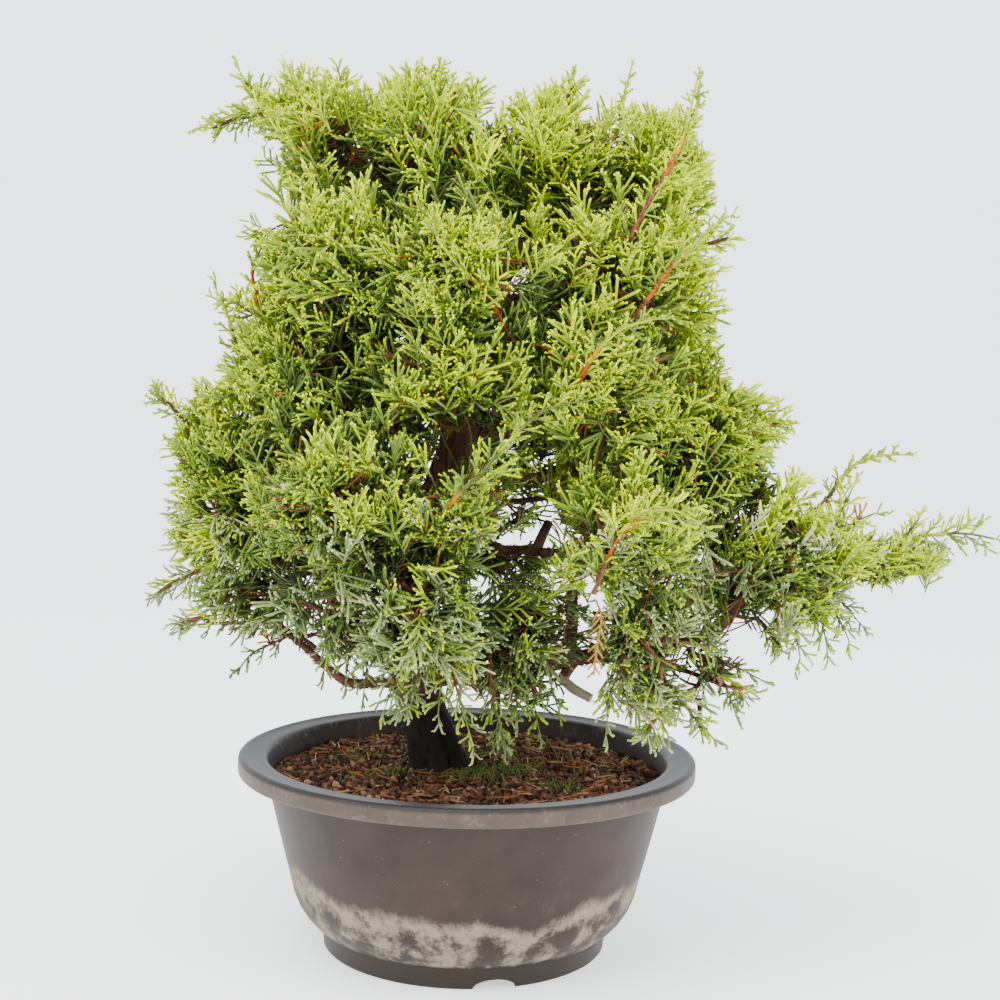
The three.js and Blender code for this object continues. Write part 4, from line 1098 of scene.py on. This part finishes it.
def grow_mass(index):
    """One mass: its stem, its twigs by order, and each frond's base, heading and length."""
    mass, middle, size = masses[index], middles[index], sizes[index]
    dice = np.random.default_rng(9000 + index)
    stem = stem_path(mass)
    wood = np.vstack([stem[6:], (stem[6:-1] + stem[7:]) / 2])
    headings = np.vstack([unit(np.gradient(stem, axis=0))[6:], unit(stem[7:] - stem[6:-1])])
    rise = np.array([0, 0, 0.34 if mass["tone"] == "bright" else -0.30])
    frond_count = int(fronds_per_area * 4 * math.pi * mean_sizes[index] ** 2 * mass["thin"])

    twigs = []
    for count, low, high, stations, sag in (
        (18, 0.40, 0.60, 5, -0.04), (int(frond_count * 0.4), 0.50, 0.76, 4, -0.02),
    ):
        directions = unit(golden_directions(count, dice.uniform(0, 6)) + dice.normal(0, 0.16, (count, 3)))
        reach, _ = reach_along(directions, index)
        tips = middle + directions * (reach * dice.uniform(low, high, count))[:, None] * size
        tips = middle + (tips - middle) * (1 - np.clip(0.3 * hollows(tips), 0, 0.3))[:, None]
        tips = tips[~open_sky(tips, 1.5)]
        chosen = attach(tips, wood, headings, middle, size)
        twigs.append(branch_paths(wood[chosen], headings[chosen], tips, stations, sag))
        more, more_headings = sample_wood(twigs[-1])
        if len(twigs) == 2:
            wood, headings = more, more_headings
        else:
            wood, headings = np.vstack([wood, more]), np.vstack([headings, more_headings])

    outer, inner = frond_count, int(frond_count * 0.55)
    directions = np.vstack([
        golden_directions(outer, dice.uniform(0, 6)), golden_directions(inner, dice.uniform(0, 6)),
    ])
    directions = unit(directions + dice.normal(0, 0.12, directions.shape))
    reach, free = reach_along(directions, index)
    depth = np.concatenate([dice.uniform(0.90, 1.04, outer), dice.uniform(0.50, 0.84, inner)])
    tips = middle + directions * (reach * depth)[:, None] * size
    depth = depth - np.clip(np.where(free, 0.30, 0.05) * hollows(tips), -0.07, 0.36)
    tips = middle + directions * (reach * depth)[:, None] * size
    from_trunk = tips - trunk_curve.at(np.clip((tips[:, 2] - 85) / 260, 0.1, 0.9)) + np.array([0, 0, 12])
    drift = np.array([noise.noise_vector(Vector(point / 26.0)) for point in tips])
    way = unit(
        0.55 * unit(directions / size) + 0.45 * unit(from_trunk) + rise + 0.75 * drift
        + dice.normal(0, 0.22, tips.shape)
    )
    length = dice.uniform(16.0, 23.5, len(tips))
    bases = tips - way * length[:, None]
    keep = ~open_sky(tips, 0.5) & ~open_sky(tips - way * 8, 1.5)
    keep &= free | (dice.random(len(tips)) < 0.5)
    bases, way, length = bases[keep], way[keep], length[keep]
    chosen = attach(bases, wood, headings, middle, size)
    twigs.append(branch_paths(wood[chosen], headings[chosen], bases + way * 1.5, 4, -0.01))
    for more_bases, more_way, more_length in sprigs(mass, stem, twigs, dice):
        bases, way = np.vstack([bases, more_bases]), np.vstack([way, more_way])
        length = np.concatenate([length, more_length])
    return stem, twigs, bases, way, length


def openness(points):
    """The share of the crown's surroundings that is open near a point, space above counting more: 0 deep
    inside it. Painted light follows it.
    """
    feelers = golden_directions(16, 0.4) * 13
    outside = ~in_crown((points[:, None] + feelers[None]).reshape(-1, 3))
    return (outside.reshape(len(points), -1) * (1 + 0.5 * feelers[None, :, 2] / 13)).mean(axis=1)


def dress(bases, way, length, tone, dice, boosts=0):
    """Set a frond on each base, and give each of its faces a colour by depth, height, shoot and luck, partly
    painted light and shade.
    """
    count = len(bases)
    side = unit(np.cross(unit(dice.normal(0, 1, (count, 3)) + np.array([0, 0, 0.8])), way))
    flat = np.cross(way, side)
    tips = bases + way * length[:, None]
    bare = openness(tips)
    buried = bare < 0.04
    pick = np.where(buried, dice.integers(16, 20, count), dice.integers(0, 16, count))
    pick = np.where((bare > 0.4) & (dice.random(count) < 0.2), dice.integers(20, 24, count), pick)
    combs = 0.75 if tone == "grey" else 0.15
    pick = np.where(~buried & (dice.random(count) < combs), dice.integers(24, 30, count), pick)
    pick = np.where(length < 12.5, dice.integers(33, 36, count), pick)
    pick = np.where(length < 7.5, dice.integers(30, 33, count), pick)
    height = bases[:, 2]
    # Painted light and shade: lighter tints where the crown is open, for fronds that point up, stand higher
    # or further right; darker deep inside.
    level = 1.0 + 3.25 * np.clip(bare / 0.42, 0, 1) + 0.5 * way[:, 2] + 0.9 * noise_at(tips, 30.0)
    level += np.clip((height - 220) / 170, -0.5, 0.7) + np.clip((bases[:, 0] - 30) / 160, -0.3, 0.8)
    level += boosts + dice.normal(0, 0.4, count)
    amber = dice.random(count) < np.where(buried, 0.07, 0.0015)
    if tone == "grey":
        level += 0.2
        greyness = np.clip((205 - height) / 70, 0.04, 0.75)
    else:
        greyness = np.clip((200 - height) / 90, 0, 0.4)
    grey = dice.random(count) < greyness
    parts = []
    for k, (corners, faces, shades, numbers) in enumerate(frond_shapes):
        rows = np.flatnonzero(pick == k)
        scale = (length[rows] / corners[:, 2].max())[:, None, None]
        girth = 0.5 * scale + 0.5
        placed = girth * (side[rows, None] * corners[:, 0:1] + flat[rows, None] * corners[:, 1:2])
        placed = bases[rows, None] + placed + way[rows, None] * corners[None, :, 2:3] * scale
        luck = dice.normal(0, 0.45, (len(rows), numbers.max() + 1))
        shade = level[rows, None] + luck[:, numbers] + shades[None]
        green = np.clip(np.round(shade), 0, 6).astype(int) + np.where(grey[rows, None], first_grey, 0)
        brown = first_amber + np.clip(np.round(shade - 1), 0, 3).astype(int)
        corner_numbers = faces[None] + (np.arange(len(rows)) * len(corners))[:, None, None]
        slots = np.where(amber[rows, None], brown, green)
        parts.append((placed.reshape(-1, 3), corner_numbers.reshape(-1, 3), slots.reshape(-1)))
    return parts


twig_radii = [np.linspace(1.3, 0.7, 5), np.linspace(0.7, 0.4, 4), np.linspace(0.45, 0.36, 4)]
twig_shares = [(0.7, 0.3, 0, 0), (0.3, 0.7, 0, 0), (0.05, 0.45, 0.1, 0.4)]
groups = []
for tone in ("bright", "grey"):
    members = [i for i, mass in enumerate(masses) if mass["tone"] == tone]
    groups += [(tone, members[start:start + 3]) for start in range(0, len(members), 3)]
for number, (tone, members) in enumerate(groups):
    leaf_parts, wood_parts = [], []
    for index in members:
        mass = masses[index]
        stem, twigs, bases, way, length = grow_mass(index)
        dice = np.random.default_rng(4000 + index)
        leaf_parts += dress(bases, way, length, tone, dice, mass["pale"])
        unborne_radius = 1.9 if mass["meets"] < 1 else 1.7
        root_radius = mass["limb"][3] if mass["limb"] else unborne_radius
        rows = [(stem[None], np.linspace(root_radius, 1.0, len(stem)), 6, 0)]
        for paths, radii, sides, order in rows + [*zip(twigs, twig_radii, (5, 4, 3), (1, 1, 2))]:
            luck = dice.choice(4, len(paths), p=twig_shares[order])
            wood_parts.append(tubes(paths, np.broadcast_to(radii, paths.shape[:2]), sides, luck))
    leaves = joined_mesh(f"leaves_{tone}_{number + 1}", leaf_parts, leaf_tints, True)
    "foliage_" + tone
    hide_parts(*["foliage_" + masses[index]["name"] for index in members if masses[index]["name"]])
    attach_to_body(leaves, "root")
    wood = joined_mesh(f"twigs_{tone}_{number + 1}", wood_parts, twig_tints, True)
    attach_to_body(wood, "root")

# Leading shoots. Long young shoots run over the crown here and there, orange-brown where they leave it
# and yellow-green further out, with fronds in two rows. One small frond low at the right is dead.
# Each row has the shoot's points, its radius, its tints from foot to tip as numbers in twig_tints, the
# length of its fronds and how bright they are.
leaders = [
    ([(16.6, -60, 262), (9.9, -68, 273), (3.8, -76, 281.5), (-6.7, -82, 290.5), (-14, -86, 300)], 0.9,
      "11224555", 9, 3),
    ([(35, -66, 234), (42.5, -82, 248.5), (48.6, -90, 259), (57, -94, 266.5), (67.5, -96, 270)], 0.9,
      "11224555", 9, 3),
    ([(-13, -84, 189), (-2, -98, 204.5), (7, -103, 214), (17, -104, 226), (30, -98, 236), (46, -92, 239.5)],
      0.8, "24335333", 9, 3),
    ([(49, -90, 166), (53.5, -98, 181), (58.5, -106, 191.5), (66, -110, 198.5), (75, -111, 200),
      (86, -108, 195)], 0.9, "11224555", 13, 5),
    ([(52, -30, 281), (61, -46, 299), (68, -46, 315), (75.5, -40, 328), (83, -28, 341), (89.5, -10, 357),
      (94.8, 0, 378)], 1.15, "00112455", 9, 3),
    ([(64, -60, 272), (72, -64, 283.5), (78.5, -60, 292.5), (87, -50, 301), (97, -40, 311),
      (106, -30, 317)], 0.8, "12245555", 10, 3),
    ([(116, -28, 158), (127, -36, 163.5), (135, -40, 163), (143, -42, 160)], 0.9, "1125", 9, 4),
    ([(101, -17, 137), (95, -26, 134), (100, -34, 133.5), (109.5, -34, 131.5), (125, -32, 124)], 0.8,
      "0113", 8, 3),
    ([(98, -33, 133.5), (108.5, -35, 124), (114.5, -35, 109.5)], 0.6, "1133", 8, 3),
    ([(-84, -28, 262), (-87.5, -34, 277.5), (-90, -36, 290), (-86, -37, 299)], 0.95, "2223", 7, 1),
    ([(-90, -30, 250), (-96, -34, 259), (-100, -34, 270), (-104.5, -34, 280.5)], 0.7, "1355", 9, 3),
    ([(-60, -6, 332), (-77, -7, 347.5), (-86, -6, 353.5), (-95, -5, 357.5), (-106, -5, 356),
      (-116, -5, 352)], 1.2, "11223355", 8, 3),
    ([(-92, -6, 357), (-94, -6, 364), (-98, -5, 371), (-101, -5, 376)], 0.8, "1335", 8, 3),
    ([(-46, -58, 212), (-42, -64, 220), (-37, -68, 228)], 0.6, "1333", 11, 3),
    ([(66, -66, 146), (69.5, -72, 135), (73.5, -76, 123), (80.5, -78, 109.5)], 0.7, "1133", 8, 4),
    ([(70, -64, 146), (75.5, -70, 135.5), (85.5, -74, 122.5), (99, -74, 107.5)], 0.7, "1133", 8, 4),
    ([(64, -66, 148), (63, -74, 138), (57.5, -78, 125), (56, -80, 109)], 0.6, "1133", 7, 3),
    ([(-64, -10, 130), (-72, -12, 136), (-84, -14, 140), (-98, -16, 141), (-114, -16, 140)], 1.2, "0013", 9,
      3),
    ([(-70, -10, 134), (-60, -14, 138), (-52, -18, 136.5), (-44, -20, 137)], 0.8, "0113", 6, 2),
    ([(-72, -12, 137), (-84, -20, 132), (-90, -23, 129), (-94, -25, 124)], 0.7, "1133", 8, 4),
    ([(154, -4, 162.6), (166.6, -2, 171.5), (178.5, 0, 174.2), (187.2, 0, 176.1), (196.3, 0, 182.1),
      (208.6, 0, 184.6), (221.8, 0, 184.8), (232, 0, 182.9)], 1.1, "1553", 14, 3),
    ([(187.2, 0, 176.1), (193, -1, 184), (198, -2, 191.5)], 0.6, "5533", 7, 3),
    ([(156, -8, 179), (163, -7, 195), (167, -5, 203)], 0.7, "1333", 12, 4),
    ([(158, -8, 177), (168.5, -7, 189), (176.5, -5, 193)], 0.7, "1333", 11, 4),
    ([(150, -6, 192), (158, -4, 201), (162, -2, 206.5), (168.5, 0, 213.5), (178.5, 2, 218), (192, 4, 219)],
      1.0, "135555", 7, 3),
    ([(62, 0, 360), (63.9, 0, 372), (66.4, 0, 383)], 0.95, "3555", 4.5, 3),
    ([(92.4, 0, 355), (95.1, 0, 367.5), (96, 0, 378)], 0.95, "1355", 5.5, 3),
    ([(132, -34, 160), (137, -38, 148), (140, -38, 135)], 0.6, "1333", 11, 3),
    ([(140, -32, 162), (149, -34, 150), (152, -34, 139)], 0.6, "1333", 11, 3),
    ([(152, -20, 166), (161, -22, 156), (168, -22, 148)], 0.6, "1333", 10, 3),
    ([(146, -24, 164), (157, -26, 152), (163, -26, 141)], 0.6, "1333", 10, 3),
    ([(-27, -78, 140), (-27.4, -84, 128), (-30, -85, 119)], 0.6, "1133", 9, 4),
    ([(-17, -80, 139.4), (-17.9, -84, 130.3), (-20, -85, 121)], 0.6, "1133", 9, 4),
    ([(-4.7, -78, 142), (-3.5, -85, 131), (0, -88, 120), (4, -88, 107)], 0.6, "1133", 9, 4),
    ([(-9, -76, 140), (-8.9, -84, 128), (-9.4, -86, 118)], 0.6, "1133", 9, 4),
    ([(10.5, -56, 136), (11.6, -63, 122), (15, -66, 110), (17.5, -66, 101)], 0.6, "1133", 8, 3),
    ([(27, -48, 135), (27.9, -53, 123), (29.5, -55, 113), (31.2, -56, 105)], 0.6, "1133", 8, 3),
    ([(34.4, -48, 133), (36.1, -52, 122.5), (39, -52, 113.5)], 0.6, "1133", 8, 3),
    ([(20.9, -50, 131), (21.5, -54, 120), (22, -56, 110)], 0.6, "1133", 8, 3),
    ([(-56, -30, 140), (-56, -34, 132), (-58, -36, 125)], 0.6, "1133", 9, 4),
    ([(-48, -30, 140), (-48, -34, 130), (-49, -36, 121)], 0.6, "1133", 9, 4),
    ([(-40, -34, 141), (-40, -38, 130), (-41, -40, 117)], 0.6, "1133", 9, 4),
]
dice = np.random.default_rng(77)
wood_parts, bases, way, length, boosts = [], [], [], [], []
for points, radius, digits, frond_length, boost in leaders:
    line, colors = Line(points), np.array([int(digit) for digit in digits])
    shares = np.linspace(0, 1, len(colors) + 1)
    for start, end, color in zip(shares, shares[1:], colors):
        stations = np.linspace(start, end, 5)
        wood_parts.append(tubes(line.at(stations)[None], (radius * (1 - 0.5 * stations))[None], 6, [color]))
    count = int(line.length / 0.7)
    u = dice.uniform(0, 0.8, count)
    heading = line.heading(u)
    outward = unit(np.cross(heading, dice.normal(0, 1, (count, 3))))
    feet = line.at(u) + outward * (radius * (1 - 0.5 * u) * 0.8)[:, None]
    scale_tips = feet + unit(heading + 0.55 * outward) * dice.uniform(1.4, 2.8, (count, 1))
    wood_parts.append(slim_rods(feet, scale_tips, 0.42, 0.12, colors[(u * len(colors)).astype(int)]))
    steps = max(4, int(line.length / 4.3))
    u = 0.16 + 0.80 * np.arange(steps) / steps
    heading = line.heading(u)
    sideways = unit(np.cross(heading, [0, 1.0, 0.2]) * np.where(np.arange(steps) % 2, 1, -1)[:, None])
    aim = unit(heading + 0.75 * sideways + dice.normal(0, 0.16, (steps, 3)))
    bases.append(np.vstack([line.at(u), line.at(1.0)[None]]))
    way.append(np.vstack([aim, line.heading(1.0)[None]]))
    length.append(np.append(frond_length * (1.25 - 0.45 * u), frond_length * 0.9))
    boosts.append(np.full(steps + 1, 0.35 * boost - 1.3))
bases, way, length, boosts = np.vstack(bases), np.vstack(way), np.concatenate(length), np.concatenate(boosts)
leaf_parts = []
for tone, rows in (("grey", bases[:, 2] < 150), ("bright", bases[:, 2] >= 150)):
    leaf_parts += dress(bases[rows], way[rows], length[rows], tone, dice, boosts[rows])
leading = joined_mesh("leaves_leading", leaf_parts, leaf_tints, True)
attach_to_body(leading, "root")
leading_wood = joined_mesh("twigs_leading", wood_parts, twig_tints, True)
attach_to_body(leading_wood, "root")

line = Line([(50, -90, 163), (51.5, -97, 158), (50, -99, 148), (49, -98.5, 136)])
u = np.linspace(0.15, 0.95, 15)
sideways = unit(np.cross(line.heading(u), [0, 1.0, 0.1]) * np.where(np.arange(15) % 2, 1, -1)[:, None])
starts = np.vstack([line.at(u), line.at(np.linspace(0, 0.94, 16))])
ends = np.vstack([
    line.at(u) + unit(line.heading(u) + 0.8 * sideways) * 6.0 * (1.1 - 0.5 * u)[:, None],
    line.at(np.linspace(0.06, 1, 16)),
])
dead_tint = plain_material("dead frond tan", (0.40, 0.19, 0.03), 0.8, 0.2)
dead_rods = slim_rods(starts, ends, 0.5, 0.35, np.zeros(len(starts)))
dead = joined_mesh("dead_frond", [dead_rods], [dead_tint], True)
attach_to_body(dead, "root")
